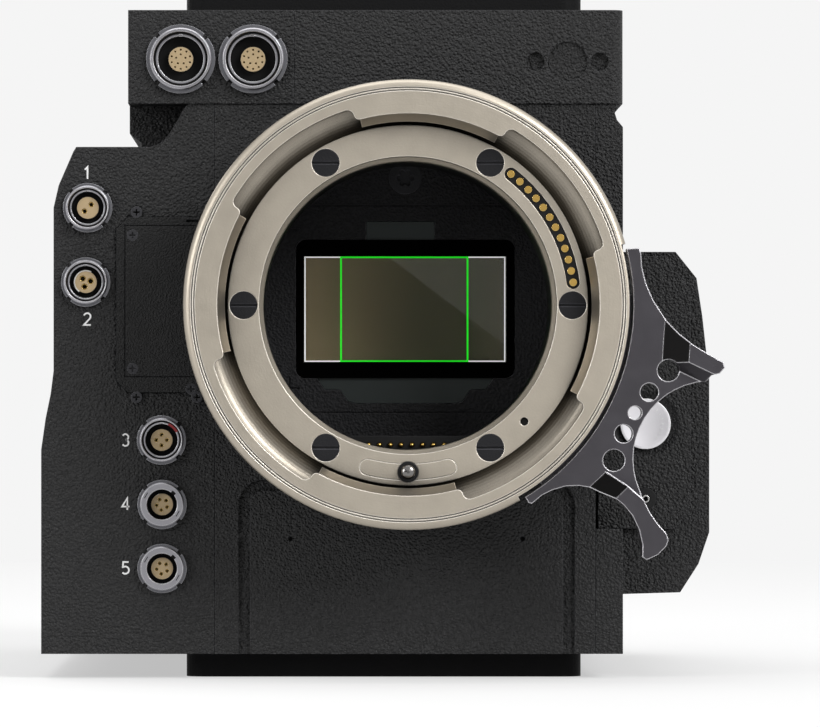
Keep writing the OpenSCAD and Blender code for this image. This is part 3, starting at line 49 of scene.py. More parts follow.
Port = bpy.types.NodeSocket
NodeInputs = dict[str | int, object]
Pair = tuple[float, float]
Point = tuple[float, float, float]
Outline = list[Pair]
Row = list[bmesh.types.BMVert]
Solids = dict[str, tuple[str, ...]]


class Body(Enum):
    """The bodies that the scene's own pieces ride on."""

    CAMERA = "camera"
    RECORD_KEY = "record_key"
    DIAL = "dial"


class Face(Enum):
    """The side of the camera that a flat detail lies on: its outward normal and its own right-hand axis."""

    FRONT = ((0, -1, 0), (1, 0, 0))
    BACK = ((0, 1, 0), (-1, 0, 0))
    CONNECTOR_SIDE = ((-1, 0, 0), (0, -1, 0))
    OPERATOR_SIDE = ((1, 0, 0), (0, 1, 0))
    TOP = ((0, 0, 1), (1, 0, 0))
    UNDERSIDE = ((0, 0, -1), (1, 0, 0))

    def matrix(self, level: float) -> Matrix:
        """Gives the placing of a flat detail on this face.

        Args:
            level: The detail's place along the face's axis of the row frame, in millimetres.

        Returns:
            The matrix from the detail's plane, with its height along Z, to the row frame.
        """
        normal, right = (Vector(axis) for axis in self.value)
        turned = Matrix((right, normal.cross(right), normal)).transposed().to_4x4()
        return Matrix.Translation([abs(share) * level * MM for share in normal]) @ turned


def linear(colour: str) -> tuple[float, float, float, float]:
    """Turns an sRGB hex colour into Blender's linear values.

    Args:
        colour: Six hex digits after a hash.

    Returns:
        Red, green, blue and an alpha of one.
    """
    parts = [int(colour[i:i + 2], 16) / 255 for i in (1, 3, 5)]
    red, green, blue = [c / 12.92 if c <= 0.04045 else ((c + 0.055) / 1.055) ** 2.4 for c in parts]
    return (red, green, blue, 1.0)


def per_metre(size_mm: float) -> float:
    """Gives the texture scale at which one feature has the size given in millimetres."""
    return 1 / (size_mm * MM)


def empty_tree(owner: bpy.types.Material | bpy.types.World) -> Tree:
    """Clears the node tree of a new material or world.

    Args:
        owner: The material or the world.

    Returns:
        Its node tree, without any node.
    """
    owner.use_nodes = True
    owner.node_tree.nodes.clear()
    return owner.node_tree


def add_node(tree: Tree, kind: str, inputs: NodeInputs | None = None, **settings: object) -> bpy.types.Node:
    """Adds a shader node with its settings and links.

    Args:
        tree: The node tree that gets the node.
        kind: Blender's name for the node's type.
        inputs: A value, or another node's output, for each input socket by name or number.
        **settings: Values for the node's own properties.

    Returns:
        The new node.
    """
    node = tree.nodes.new(kind)
    for name, value in settings.items():
        setattr(node, name, value)
    for socket, value in (inputs or {}).items():
        if isinstance(value, Port):
            tree.links.new(value, node.inputs[socket])
        else:
            node.inputs[socket].default_value = value
    return node


def reckon(tree: Tree, operation: str, *values: object) -> Port:
    """Adds a sum on numbers, by Blender's name for the operation."""
    return add_node(tree, "ShaderNodeMath", dict(enumerate(values)), operation=operation).outputs[0]


def reckon_vector(tree: Tree, operation: str, *values: object) -> Port:
    """Adds a sum on vectors, whose result is a number for a length and for a dot product."""
    node = add_node(tree, "ShaderNodeVectorMath", dict(enumerate(values)), operation=operation)
    return node.outputs["Value" if operation in ("LENGTH", "DOT_PRODUCT") else "Vector"]


def rescale(tree: Tree, value: Port, source: Pair, target: Pair = (0.0, 1.0), **settings: object) -> Port:
    """Stretches a value from one range onto another, each given by its two ends."""
    ends = {"From Min": source[0], "From Max": source[1], "To Min": target[0], "To Max": target[1]}
    return add_node(tree, "ShaderNodeMapRange", {"Value": value, **ends}, **settings).outputs["Result"]


def noise(tree: Tree, place: Port, size_mm: float, detail: float = FINE_DETAIL) -> Port:
    """Adds a cloudy pattern from zero to one, whose features have the size given in millimetres."""
    inputs = {"Vector": place, "Scale": per_metre(size_mm), "Detail": detail}
    return add_node(tree, "ShaderNodeTexNoise", inputs).outputs["Fac"]


def mix_colour(tree: Tree, factor: object, first: object, second: object, blend: str = "MIX") -> Port:
    """Mixes two colours, each of them a value or another node's output."""
    inputs = {"Factor": factor, 6: first, 7: second}
    return add_node(tree, "ShaderNodeMix", inputs, data_type="RGBA", blend_type=blend).outputs[2]


def backdrop_rays(tree: Tree) -> Port:
    """Finds the rays that show the backdrop: the camera's own, and those by way of metal or glass.

    Args:
        tree: The node tree.

    Returns:
        A socket that is one for these rays.
    """
    paths = add_node(tree, "ShaderNodeLightPath").outputs
    seen = reckon(tree, "MAXIMUM", paths["Is Camera Ray"], paths["Is Glossy Ray"])
    return reckon(tree, "MAXIMUM", seen, paths["Is Transmission Ray"])


@dataclass(frozen=True)
class Finish:
    """A surface as it was made: its plain shader values, its pattern, and the wear and painted highlight
    along its edges.

    The grain is its size and its depth in millimetres. A finish without mottle has one even colour and gloss.
    """

    name: str
    colour: str
    roughness: float
    metallic: float = 0.0
    ior: float = 1.5
    edge_mm: float = 0.25
    # Edge colour: partly wear, partly a painted highlight on the bevels.
    worn: str = ""
    grain: Pair = (0.5, 0.0)
    mottle: float = 0.06
    gloss_spread: float = 0.08
    specular: float = 0.5
    hollow_tone: float = 0.0
    glow: float = 0.0
    clear: float = 0.0
    wear_range = (0.985, 0.86)
    edge_samples = 6
    cloud_grains = 9.0
    least_cloud_mm = 4.0
    grain_detail = 3.0
    cloud_detail = 4.0
    least_roughness = 0.02

    def height(self, tree: Tree, place: Port) -> Port:
        """Draws the surface's relief.

        Args:
            tree: The material's node tree.
            place: The place on the object.

        Returns:
            A socket whose value goes from zero in the hollows to one on the peaks.
        """
        return noise(tree, place, self.grain[0], self.grain_detail)

    def shade(self, tree: Tree, place: Port) -> Port:
        """Draws the slow variation of the surface's colour, from zero to one."""
        size = max(self.cloud_grains * self.grain[0], self.least_cloud_mm)
        return noise(tree, place, size, self.cloud_detail)

    def tone(self, tree: Tree, cloud: Port) -> Port:
        """Spreads the finish's colour a little to both sides.

        Args:
            tree: The material's node tree.
            cloud: The slow variation, from zero to one.

        Returns:
            The colour's socket.
        """
        base = linear(self.colour)[:3]
        dark = tuple(c * (1 - 2 * self.mottle) for c in base) + (1.0,)
        light = tuple(min(1.0, c * (1 + 2 * self.mottle)) for c in base) + (1.0,)
        return mix_colour(tree, cloud, dark, light)

    def worn_edge(self, tree: Tree, rounded: Port) -> Port:
        """Finds the edges by how far the rounded normal leaves the true one; the mask is one on them, where
        the edge colour stands for wear and a painted highlight.
        """
        normal = add_node(tree, "ShaderNodeNewGeometry").outputs["Normal"]
        return rescale(tree, reckon_vector(tree, "DOT_PRODUCT", rounded, normal), self.wear_range)

    def material(self) -> bpy.types.Material:
        """Builds the material, or finds the one that was built before under this name.

        Returns:
            The material.
        """
        known = bpy.data.materials.get(self.name)
        if known:
            return known
        made = bpy.data.materials.new(self.name)
        tree = empty_tree(made)
        colour, rough = linear(self.colour), self.roughness
        bevel = add_node(tree, "ShaderNodeBevel", {"Radius": self.edge_mm * MM}, samples=self.edge_samples)
        normal = rounded = bevel.outputs["Normal"]
        if self.mottle > 0:
            place = add_node(tree, "ShaderNodeTexCoord").outputs["Object"]
            cloud = self.shade(tree, place)
            tone = self.tone(tree, cloud)
            if self.grain[1] > 0:
                relief = self.height(tree, place)
                bump = {"Height": relief, "Distance": self.grain[1] * MM, "Normal": rounded}
                normal = add_node(tree, "ShaderNodeBump", bump).outputs["Normal"]
                # Painted shade: the grain's hollows are darkened by the relief.
                if self.hollow_tone > 0:
                    tone = mix_colour(tree, self.hollow_tone, tone, relief, "MULTIPLY")
            # Edges get a lighter colour: partly wear, partly a painted highlight on the bevels.
            colour = mix_colour(tree, self.worn_edge(tree, rounded), tone, linear(self.worn or self.colour))
            least = max(self.least_roughness, self.roughness - self.gloss_spread)
            rough = rescale(tree, cloud, (0.0, 1.0), (least, self.roughness + self.gloss_spread))
        shader = add_node(tree, "ShaderNodeBsdfPrincipled", {
            "Base Color": colour, "Roughness": rough, "Normal": normal, "Metallic": self.metallic,
            "IOR": self.ior, "Specular IOR Level": self.specular, "Transmission Weight": self.clear,
            "Emission Color": linear(self.colour), "Emission Strength": self.glow})
        add_node(tree, "ShaderNodeOutputMaterial", {"Surface": shader.outputs["BSDF"]})
        return made


@dataclass(frozen=True)
class WrinkleCoat(Finish):
    """Wrinkle powder coat: baked paint that shrinks into soft ridges and breaks light into specks."""

    bend_grains = 1.5
    bend_share = 0.7
    fine_grains = 0.6
    ridge_range = (0.06, 0.42)

    def height(self, tree: Tree, place: Port) -> Port:
        """Draws ridges by bending a cell pattern with noise; see Finish.height for Args and Returns."""
        size = self.grain[0]
        bend_inputs = {"Vector": place, "Scale": per_metre(size * self.bend_grains), "Detail": FINE_DETAIL}
        bend = add_node(tree, "ShaderNodeTexNoise", bend_inputs).outputs["Color"]
        shift = reckon_vector(tree, "MULTIPLY", bend, (size * self.bend_share * MM,) * 3)
        cell_inputs = {"Vector": reckon_vector(tree, "ADD", place, shift), "Scale": per_metre(size)}
        cells = add_node(tree, "ShaderNodeTexVoronoi", cell_inputs, feature="F1").outputs["Distance"]
        both = reckon(tree, "MULTIPLY", cells, noise(tree, place, size * self.fine_grains))
        return rescale(tree, both, self.ridge_range)


@dataclass(frozen=True)
class TurnedMetal(Finish):
    """Metal faced on a lathe about an axis along Y: fine rings that stretch a highlight across the cut."""

    centre: Point = (0.0, 0.0, 0.0)
    speck_share: float = 0.45
    groove_tone: float = 0.0
    speck_grains = 1.6
    groove_mm = 9.0
    groove_range = (0.3, 0.82)
    groove_samples = 8

    def height(self, tree: Tree, place: Port) -> Port:
        """Draws rings about the lathe's axis; see Finish.height for Args and Returns."""
        moved = reckon_vector(tree, "SUBTRACT", place, Vector(self.centre) * MM)
        radius = reckon_vector(tree, "LENGTH", reckon_vector(tree, "MULTIPLY", moved, (1, 0, 1)))
        ring_inputs = {"W": radius, "Scale": per_metre(self.grain[0]), "Detail": FINE_DETAIL}
        rings = add_node(tree, "ShaderNodeTexNoise", ring_inputs, noise_dimensions="1D").outputs["Fac"]
        specks = noise(tree, place, self.grain[0] * self.speck_grains)
        return add_node(tree, "ShaderNodeMix", {"Factor": self.speck_share, 2: rings, 3: specks}).outputs[0]

    def tone(self, tree: Tree, cloud: Port) -> Port:
        """Darkens the grooves and recesses with painted shade; see Finish.tone for Args and Returns."""
        bare = super().tone(tree, cloud)
        if self.groove_tone == 0:
            return bare
        # Painted shade: the colour darkens where ambient occlusion finds grooves and recesses.
        reach = {"Distance": self.groove_mm * MM}
        openness = add_node(tree, "ShaderNodeAmbientOcclusion", reach, samples=self.groove_samples)
        kept = rescale(tree, openness.outputs["AO"], self.groove_range, (1 - self.groove_tone, 1.0))
        return mix_colour(tree, 1.0, bare, kept, "MULTIPLY")


@dataclass(frozen=True)
class FingerLever(Finish):
    """Hard-anodised lever whose two finger ramps, which face away from the light, are painted black as
    painted shade.
    """

    ramp_lean = -0.817
    ramp_tolerance = 0.03
    ramp_colour = "#060505"

    def tone(self, tree: Tree, cloud: Port) -> Port:
        """Paints shade on the faces that lean as the ramps do; see Finish.tone for Args and Returns."""
        facing = add_node(tree, "ShaderNodeNewGeometry").outputs["True Normal"]
        lean = add_node(tree, "ShaderNodeSeparateXYZ", {0: facing}).outputs["Y"]
        # Painted shade: faces that lean as the ramps do are painted near-black.
        shaded_ramp = reckon(tree, "COMPARE", lean, self.ramp_lean, self.ramp_tolerance)
        return mix_colour(tree, shaded_ramp, super().tone(tree, cloud), linear(self.ramp_colour))


@dataclass(frozen=True)
class FilteredSilicon(Finish):
    """Silicon under its colour filters: an olive brown, painted lighter on the left and darker to the right
    as painted light.
    """

    far_colour: str = "#3f3e30"
    drift_mm = (-21.0, 6.3)

    def shade(self, tree: Tree, place: Port) -> Port:
        """Draws the painted light's fall from the left to the right, from zero to one."""
        across = add_node(tree, "ShaderNodeSeparateXYZ", {0: place}).outputs["X"]
        return rescale(tree, across, tuple(x * MM for x in self.drift_mm), interpolation_type="SMOOTHSTEP")

    def tone(self, tree: Tree, cloud: Port) -> Port:
        """Goes from the lit colour on the left to the shaded one on the right."""
        # Painted light: lighter on the left, darker to the right.
        return mix_colour(tree, cloud, linear(self.colour), linear(self.far_colour))


@dataclass(frozen=True)
class LacqueredBoard(Finish):
    """Fibreglass board under green solder lacquer, with copper tracks that lift it a little."""

    track_share = 0.45

    def height(self, tree: Tree, place: Port) -> Port:
        """Draws the tracks as square cells; see Finish.height for Args and Returns."""
        inputs = {"Vector": place, "Scale": per_metre(self.grain[0])}
        cells = add_node(tree, "ShaderNodeTexVoronoi", inputs, feature="F1", distance="CHEBYCHEV")
        return reckon(tree, "GREATER_THAN", cells.outputs["Distance"], self.track_share)


class Finishes:
    """Every finish on the object; the record's material slots come first, under their own names."""

    # Bead-blasted, nickel-plated steel: a warm grey metal with a soft sheen; its bright turned edges are
    # partly a painted highlight, and its grooves get painted shade.
    champagne_steel = TurnedMetal("blasted_nickel_steel", "#ada598", 0.42, 1.0, edge_mm=0.3, worn="#f4eee4",
                                  grain=(0.3, 0.035), mottle=0.04, gloss_spread=0.04, speck_share=0.75,
                                  groove_tone=0.93)
    # Black-oxide steel screws: a matt crystalline film that catches light only in specks.
    dark_screw = Finish("black_oxide_steel", "#17171a", 0.5, 0.3, worn="#55555a", grain=(0.35, 0.06),
                        specular=0.3)
    # Turned stainless steel: bright, with rings too fine to see, drawn coarser here so that they show.
    bright_screw = Finish("turned_stainless", "#8f8f92", 0.32, 1.0, worn="#cfcfd2", grain=(0.3, 0.01))
    # Hard-anodised aluminium lever: violet-grey with a fine matt grain, lighter along its edges from wear and
    # a painted highlight, with painted shade on its finger ramps.
    lever_metal = FingerLever("hard_anodised_lever", "#49474b", 0.38, 0.85, edge_mm=0.4, worn="#efedf1",
                              grain=(0.25, 0.012))
    # Black anodised aluminium: the dye leaves a deep satin black with a soft metal sheen.
    black_anodised = Finish("black_anodised_aluminium", "#111112", 0.45, 0.3, worn="#2c2c2e",
                            grain=(0.3, 0.01), specular=0.3)
    # Moulded black polymer: matt, with the mould's fine spark grain.
    insulator = Finish("moulded_black_polymer", "#0d0d0e", 0.55, worn="#1f1f20", grain=(0.3, 0.01),
                       specular=0.25)
    # Hard gold over nickel: rich yellow, smooth enough to mirror the studio softly.
    gold_contact = Finish("hard_gold_plate", "#c4a157", 0.26, 1.0, edge_mm=0.12, worn="#f3dfa6",
                          grain=(0.4, 0.004), mottle=0.05)
    # Ground and polished steel pin.
    bright_pin = Finish("polished_steel", "#b4b2b0", 0.16, 1.0, edge_mm=0.12, worn="#e8e8e8",
                        grain=(0.5, 0.003))
    # The index pin's steel, blued by its hardening.
    index_steel = Finish("blued_steel_pin", "#777573", 0.18, 1.0, edge_mm=0.12, worn="#c8c8c8",
                         grain=(0.5, 0.003))
    # Black-chromated cross screws, a shade lighter than the paint about them.
    cross_steel = Finish("black_chromated_steel", "#343437", 0.45, 0.4, edge_mm=0.07, worn="#77777a",
                         grain=(0.35, 0.03), specular=0.3)
    # Rough black paint inside the throat, kept matt against stray light.
    bezel_black = WrinkleCoat("light_trap_paint", "#262628", 0.66, edge_mm=0.15, worn="#343436",
                              grain=(0.6, 0.12), specular=0.2, hollow_tone=0.5)
    # Satin grey anodised filter holder.
    filter_grey = Finish("grey_anodised_holder", "#262c2b", 0.5, 0.2, edge_mm=0.2, worn="#454c4a",
                         grain=(0.4, 0.015), specular=0.3)
    # Flocked light mask, the darkest surface on the object.
    mask_black = Finish("flocked_mask", "#020202", 0.95, worn="#020202", grain=(0.3, 0.03), specular=0.02)
    # Filter glass under anti-reflection layers, which leave a hundredth of the light, so its IOR here is low.
    filter_glass = Finish("coated_filter_glass", "#fbfcf8", 0.0, ior=1.22, mottle=0.0, edge_mm=0.02,
                          clear=1.0)
    # Silicon under its colour filters, behind the glass, with painted light across it: lighter on the left.
    sensor_dark = FilteredSilicon("silicon_under_filters", "#8f8168", 0.14, far_colour="#585643",
                                  worn="#62594a", gloss_spread=0.02, specular=0.2)
    # Machined aluminium left bare inside.
    inner_metal = Finish("machined_aluminium", "#a3a3a7", 0.42, 1.0, worn="#d5d5d8", grain=(0.6, 0.01))
    # Etched copper tracks on fibreglass, sprayed with green solder lacquer.
    circuit_board = LacqueredBoard("lacquered_board", "#12482f", 0.35, worn="#8c7d4d", grain=(1.6, 0.04))
    # Wrinkle powder coat on the covers; its ridges are about 0.5 mm apart and drawn wider so that they show.
    body_black = WrinkleCoat("wrinkle_powder_coat", "#1b1b1c", 0.5, edge_mm=0.35, worn="#343436",
                             grain=(0.62, 0.3), mottle=0.08, specular=0.35, hollow_tone=0.65)
    # The same coat sprayed thinner on the access panel, so finer; darker partly for that and partly as
    # painted shade from the lock ring.
    panel_coat = WrinkleCoat("thin_wrinkle_coat_and_shade", "#0f0f10", 0.55, worn="#2c2c2e", grain=(0.4, 0.18),
                             mottle=0.08, specular=0.3, hollow_tone=0.6)
    # Satin black paint on small machined parts.
    smooth_black = Finish("satin_black_paint", "#0c0c0d", 0.62, worn="#242426", grain=(0.4, 0.08),
                          gloss_spread=0.04, specular=0.12)
    # Satin chrome over brass.
    socket_metal = Finish("satin_chrome_brass", "#9a999e", 0.32, 1.0, edge_mm=0.15, worn="#f8f8fa",
                          grain=(0.3, 0.006), mottle=0.03)
    # Nickel plate left as it came from the bath, greyer than the chrome beside it.
    nut_base = Finish("nickel_bath_brass", "#68686c", 0.42, 1.0, edge_mm=0.12, worn="#b9b9bd",
                      grain=(0.3, 0.01), mottle=0.05)
    # Natural high-temperature polymer: a warm cream, slightly waxy.
    insert_cream = Finish("natural_polymer", "#b39d79", 0.45, edge_mm=0.1, worn="#e2d3b4", grain=(0.5, 0.008))
    # Glass-filled polymer of the fan.
    fan_plastic = Finish("glass_filled_polymer", "#141415", 0.5, worn="#2a2a2b", grain=(0.5, 0.015))
    # Lathe-turned aluminium cap under clear lacquer, nearly white, with fine rings about its own centre.
    button_silver = TurnedMetal("turned_aluminium_cap", "#f1eff3", 0.36, 0.3, worn="#ffffff",
                                grain=(0.4, 0.008), mottle=0.03, centre=(48.9, 0.0, -23.7))
    # Moulded grey keys.
    button_grey = Finish("moulded_grey_polymer", "#37373a", 0.5, worn="#5a5a5d", grain=(0.3, 0.01))
    # Tinted display glass over a dark panel.
    screen_glass = Finish("display_glass", "#0b0d10", 0.06, ior=1.52, edge_mm=0.3, worn="#30353c",
                          mottle=0.05, gloss_spread=0.03)
    # Red anodised release slider.
    release_red = Finish("red_anodised_aluminium", "#8e1b14", 0.35, 0.8, worn="#e0766c", grain=(0.3, 0.008))

    # Screen-printed ink, thick and matt.
    white_ink = Finish("white_screen_ink", "#ececec", 0.6, grain=(0.4, 0.004), mottle=0.02, edge_mm=0.02)
    # Line inks that glow as painted light, so that they look lit within the dark throat.
    white_line = Finish("glowing_white_line", "#f4f4f4", 0.6, mottle=0.01, edge_mm=0.02, glow=0.55)
    green_line = Finish("glowing_green_line", "#12d81c", 0.6, mottle=0.01, edge_mm=0.02, glow=0.8)
    # Fired red enamel in a socket's key mark.
    red_ink = Finish("red_enamel", "#8d1c20", 0.35, grain=(0.4, 0.0), mottle=0.04, edge_mm=0.05)
    # Sintered white fluoropolymer of the video sockets.
    white_polymer = Finish("white_fluoropolymer", "#dedcd6", 0.5, grain=(0.5, 0.008), mottle=0.02)
    # Black rubber seals.
    seal_rubber = Finish("black_nitrile_rubber", "#060606", 0.7, grain=(0.3, 0.01), specular=0.15)


def dress(node: str, finish: Finish) -> None:
    """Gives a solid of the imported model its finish.

    Args:
        node: The solid's name.
        finish: What its surface is made of.
    """
    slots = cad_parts[node].data.materials
    slots.clear()
    slots.append(finish.material())


def front_of(node: str) -> float:
    """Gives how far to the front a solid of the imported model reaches, in millimetres."""
    return min(v.co.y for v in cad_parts[node].data.vertices) / MM


def islands(node: str) -> list[Outline]:
    """Finds a solid's separate lumps, seen from the front.

    Args:
        node: The solid's name.

    Returns:
        The lowest and the highest corner of each lump, in millimetres.
    """
    mesh = bmesh.new()
    mesh.from_mesh(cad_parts[node].data)
    bmesh.ops.remove_doubles(mesh, verts=mesh.verts, dist=MM * MM)
    left = set(mesh.verts)
    found = []
    while left:
        lump, ahead = set(), [left.pop()]
        while ahead:
            vertex = ahead.pop()
            lump.add(vertex)
            near = {edge.other_vert(vertex) for edge in vertex.link_edges} & left
            left -= near
            ahead.extend(near)
        xs = [v.co.x / MM for v in lump]
        zs = [v.co.z / MM for v in lump]
        found.append([(min(xs), min(zs)), (max(xs), max(zs))])
    mesh.free()
    return found


def polar(centre: Pair, radius: float, angle: float) -> Pair:
    """Gives the place at a radius and an angle, in radians, about a centre."""
    return (centre[0] + radius * math.cos(angle), centre[1] + radius * math.sin(angle))


def arc_points(centre: Pair, radius: float, start: float, end: float, steps: int = 10) -> Outline:
    """Gives points on an arc.

    Args:
        centre: The arc's centre.
        radius: Its radius.
        start: The first point's angle in degrees.
        end: The last point's angle in degrees.
        steps: The number of segments.

    Returns:
        The points, from the first to the last.
    """
    turns = [math.radians(start + (end - start) * i / steps) for i in range(steps + 1)]
    return [polar(centre, radius, turn) for turn in turns]


@dataclass
class Shape:
    """A mesh under construction, in millimetres, which becomes one piece of the object."""

    mesh: bmesh.types.BMesh = field(default_factory=bmesh.new)
    mitre_limit = 0.35
    head_bevel = 0.16
    head_steps = 24
    key_share = 0.52
    key_depth = 0.8
    key_half = math.pi / 6
    cross_arm = 0.62
    cross_half = 0.17
    cross_seat = 0.2
    cross_depth = 0.7
    disc_steps = 64
    notch_steps = 16
    notch_floor = 0.05
    weld_mm = 1e-5
    thread_steps = 36
    thread_fade = 9
    thread_depth = 0.5
    thread_flanks = (0.05, 0.5, 0.95)
    sharp_angle = 35.0

    def skin(self, rows: list[Row], around: bool = False, looped: bool = True) -> None:
        """Joins each row of points to the next one by faces.

        Args:
            rows: The rows; a row of one point is a tip.
            around: Whether the last row is joined to the first one.
            looped: Whether each row's last point is joined to its first one.
        """
        for low, high in zip(rows, rows[1:] + rows[:1] if around else rows[1:]):
            count = max(len(low), len(high))
            for i in range(count if looped else count - 1):
                j = i + 1
                corners = [low[i % len(low)], low[j % len(low)], high[j % len(high)], high[i % len(high)]]
                unique = list(dict.fromkeys(corners))
                if len(unique) > 2:
                    self.mesh.faces.new(unique)

    def ribbon(self, points: Outline, width: float, height: float, closed: bool = False,
               lift: float = 0.0) -> None:
        """Adds a flat strip along a line, as of ink or tape.

        Args:
            points: The line's points in the strip's plane.
            width: The strip's width.
            height: The strip's thickness along the plane's normal.
            closed: Whether the line comes back to its start.
            lift: The underside's height over the plane.
        """
        count = len(points)
        rows = []
        for i, point in enumerate(points):
            before = points[i - 1] if closed or i else point
            after = points[(i + 1) % count] if closed or i < count - 1 else point
            run_in = (Vector(point) - Vector(before)).normalized() if before != point else None
            run_out = (Vector(after) - Vector(point)).normalized() if after != point else None
            run_in = run_in or run_out
            run_out = run_out or run_in
            side_in = Vector((-run_in.y, run_in.x))
            side_out = Vector((-run_out.y, run_out.x))
            mitre = (side_in + side_out).normalized()
            reach = width / 2 / max(self.mitre_limit, mitre.dot(side_in))
            left, right = Vector(point) + mitre * reach, Vector(point) - mitre * reach
            section = ((left, lift), (left, lift + height), (right, lift + height), (right, lift))
            rows.append([self.mesh.verts.new((*side, z)) for side, z in section])
        self.skin(rows, around=closed)
        if not closed:
            self.mesh.faces.new(rows[0][::-1])
            self.mesh.faces.new(rows[-1])

    def lathe(self, profile: Sequence[Pair], steps: int, centre: Pair) -> None:
        """Adds a turned form about the plane's normal.

        Args:
            profile: Radius and height of each point, from one end to the other.
            steps: The number of facets round the axis.
            centre: The axis's place in the plane.
        """
        rings = []
        for radius, height in profile:
            turns = [2 * math.pi / steps * i for i in range(steps if radius > 0 else 1)]
            rings.append([self.mesh.verts.new((*polar(centre, radius, turn), height)) for turn in turns])
        self.skin(rings)

    def socket_screw(self, radius: float, proud: float, centre: Pair) -> None:
        """Adds a low screw head with a chamfer and a hexagon socket.

        Args:
            radius: The head's radius.
            proud: How far the head stands out of the plane.
            centre: The head's place in the plane.
        """
        bevel = radius * self.head_bevel
        key = radius * self.key_share
        half = self.key_half
        rims = [(radius, -proud, False), (radius, proud - bevel, False), (radius - bevel, proud, False),
                (key, proud, True), (key, -proud * self.key_depth, True)]
        rings = []
        for size, height, hexagon in rims:
            ring = []
            for i in range(self.head_steps):
                angle = 2 * math.pi * i / self.head_steps
                share = math.cos(half) / math.cos(angle % (2 * half) - half) if hexagon else 1.0
                ring.append(self.mesh.verts.new((*polar(centre, size * share, angle), height)))
            rings.append(ring)
        self.skin(rings)
        self.mesh.faces.new(rings[-1])

    def cross_screw(self, radius: float, proud: float, centre: Pair) -> None:
        """Adds a pan head with a cross-shaped recess.

        Args:
            radius: The head's radius.
            proud: How far the head stands out of the plane.
            centre: The head's place in the plane.
        """
        arm = radius * self.cross_arm
        half = radius * self.cross_half
        cross = []
        for turn in range(4):
            spin = Matrix.Rotation(turn * math.pi / 2, 2)
            cross += [tuple(spin @ Vector(p)) for p in ((arm, -half), (arm, half), (half, half))]
        self.drilled_disc(radius, [cross], proud, 2 * proud + self.cross_seat, proud + self.cross_depth,
                          centre)

    def drilled_disc(self, radius: float, holes: list[Outline], top: float, depth: float, hole_depth: float,
                     centre: Pair) -> None:
        """Adds a disc with blind holes of any outline.

        Args:
            radius: The disc's radius.
            holes: The outline of each hole about the disc's middle.
            top: The height of the disc's face.
            depth: The disc's thickness.
            hole_depth: The holes' depth.
            centre: The disc's place in the plane.
        """
        rim = arc_points((0.0, 0.0), radius, 0, 360, self.disc_steps)[:-1]
        loops = [[self.mesh.verts.new((centre[0] + x, centre[1] + y, top)) for x, y in line]
                 for line in (rim, *holes)]
        edges = [self.mesh.edges.new((loop[i - 1], loop[i])) for loop in loops for i in range(len(loop))]
        bmesh.ops.triangle_fill(self.mesh, use_beauty=True, edges=edges)
        for number, loop in enumerate(loops):
            drop = hole_depth if number else depth
            floor = [self.mesh.verts.new((v.co.x, v.co.y, top - drop)) for v in loop]
            self.skin([loop, floor])
            if number:
                self.mesh.faces.new(floor)

    def notched_ring(self, radii: Pair, notches: tuple[float, ...], width: float, levels: Pair,
                     centre: Pair) -> None:
        """Adds a flat ring whose rim is notched for a spanner.

        Args:
            radii: The rim's radius, and the bore's, which the notches reach nearly down to.
            notches: The notches' angles in degrees.
            width: The notches' width.
            levels: The heights of the ring's underside and of its face.
            centre: The ring's place in the plane.
        """
        outer, inner = radii
        low, high = levels
        half = math.degrees(width / 2 / outer)
        floor = inner + self.notch_floor
        outline = []
        for angle, after in zip(notches, (*notches[1:], notches[0] + 360)):
            first, last = angle + half, after - half
            steps = self.notch_steps
            outline += [(floor, angle - half), (floor, first)]
            outline += [(outer, first + (last - first) * i / steps) for i in range(steps + 1)]
        rows = []
        for radius, angle in outline:
            turn = math.radians(angle)
            rows.append([self.mesh.verts.new((*polar(centre, r, turn), z))
                         for r, z in ((radius, low), (radius, high), (inner, high))])
        self.skin(rows, around=True, looped=False)
        bmesh.ops.remove_doubles(self.mesh, verts=[v for row in rows for v in row], dist=self.weld_mm)

    def thread(self, radius: float, pitch: float, levels: Pair, centre: Pair) -> None:
        """Adds the ridge of an inner screw thread, as one helix with a pointed section.

        Args:
            radius: The hole's radius.
            pitch: The thread's pitch.
            levels: The heights of the thread's lower and upper end.
            centre: The hole's place in the plane.
        """
        low, high = levels
        steps = self.thread_steps
        foot, crest, head = self.thread_flanks
        count = int((high - low - pitch) / pitch * steps)
        rows = []
        for i in range(count + 1):
            fade = min(1.0, i / self.thread_fade, (count - i) / self.thread_fade)
            tip = radius - pitch * self.thread_depth * fade
            place = 2 * math.pi * i / steps
            base = low + pitch * i / steps
            rows.append([self.mesh.verts.new((*polar(centre, r, place), base + share * pitch))
                         for r, share in ((radius, foot), (tip, crest), (radius, head))])
        self.skin(rows, looped=False)

    def block(self, low: Point, high: Point, bevel: float) -> None:
        """Adds a small block with chamfered upright and upper edges.

        Args:
            low: Its lowest corner.
            high: Its highest corner.
            bevel: The chamfer's width.
        """
        (x1, y1, z1), (x2, y2, z2) = low, high
        rows = []
        for inset, z in ((0.0, z1), (0.0, z2 - bevel), (bevel, z2)):
            corners = []
            for x, y, sx, sy in ((x1, y1, 1, 1), (x2, y1, -1, 1), (x2, y2, -1, -1), (x1, y2, 1, -1)):
                near = (x + sx * inset, y + sy * (inset + bevel))
                far = (x + sx * (inset + bevel), y + sy * inset)
                corners += (near, far) if sx == sy else (far, near)
            rows.append([self.mesh.verts.new((x, y, z)) for x, y in corners])
        self.skin(rows)
        self.mesh.faces.new(rows[-1])
        self.mesh.faces.new(rows[0][::-1])

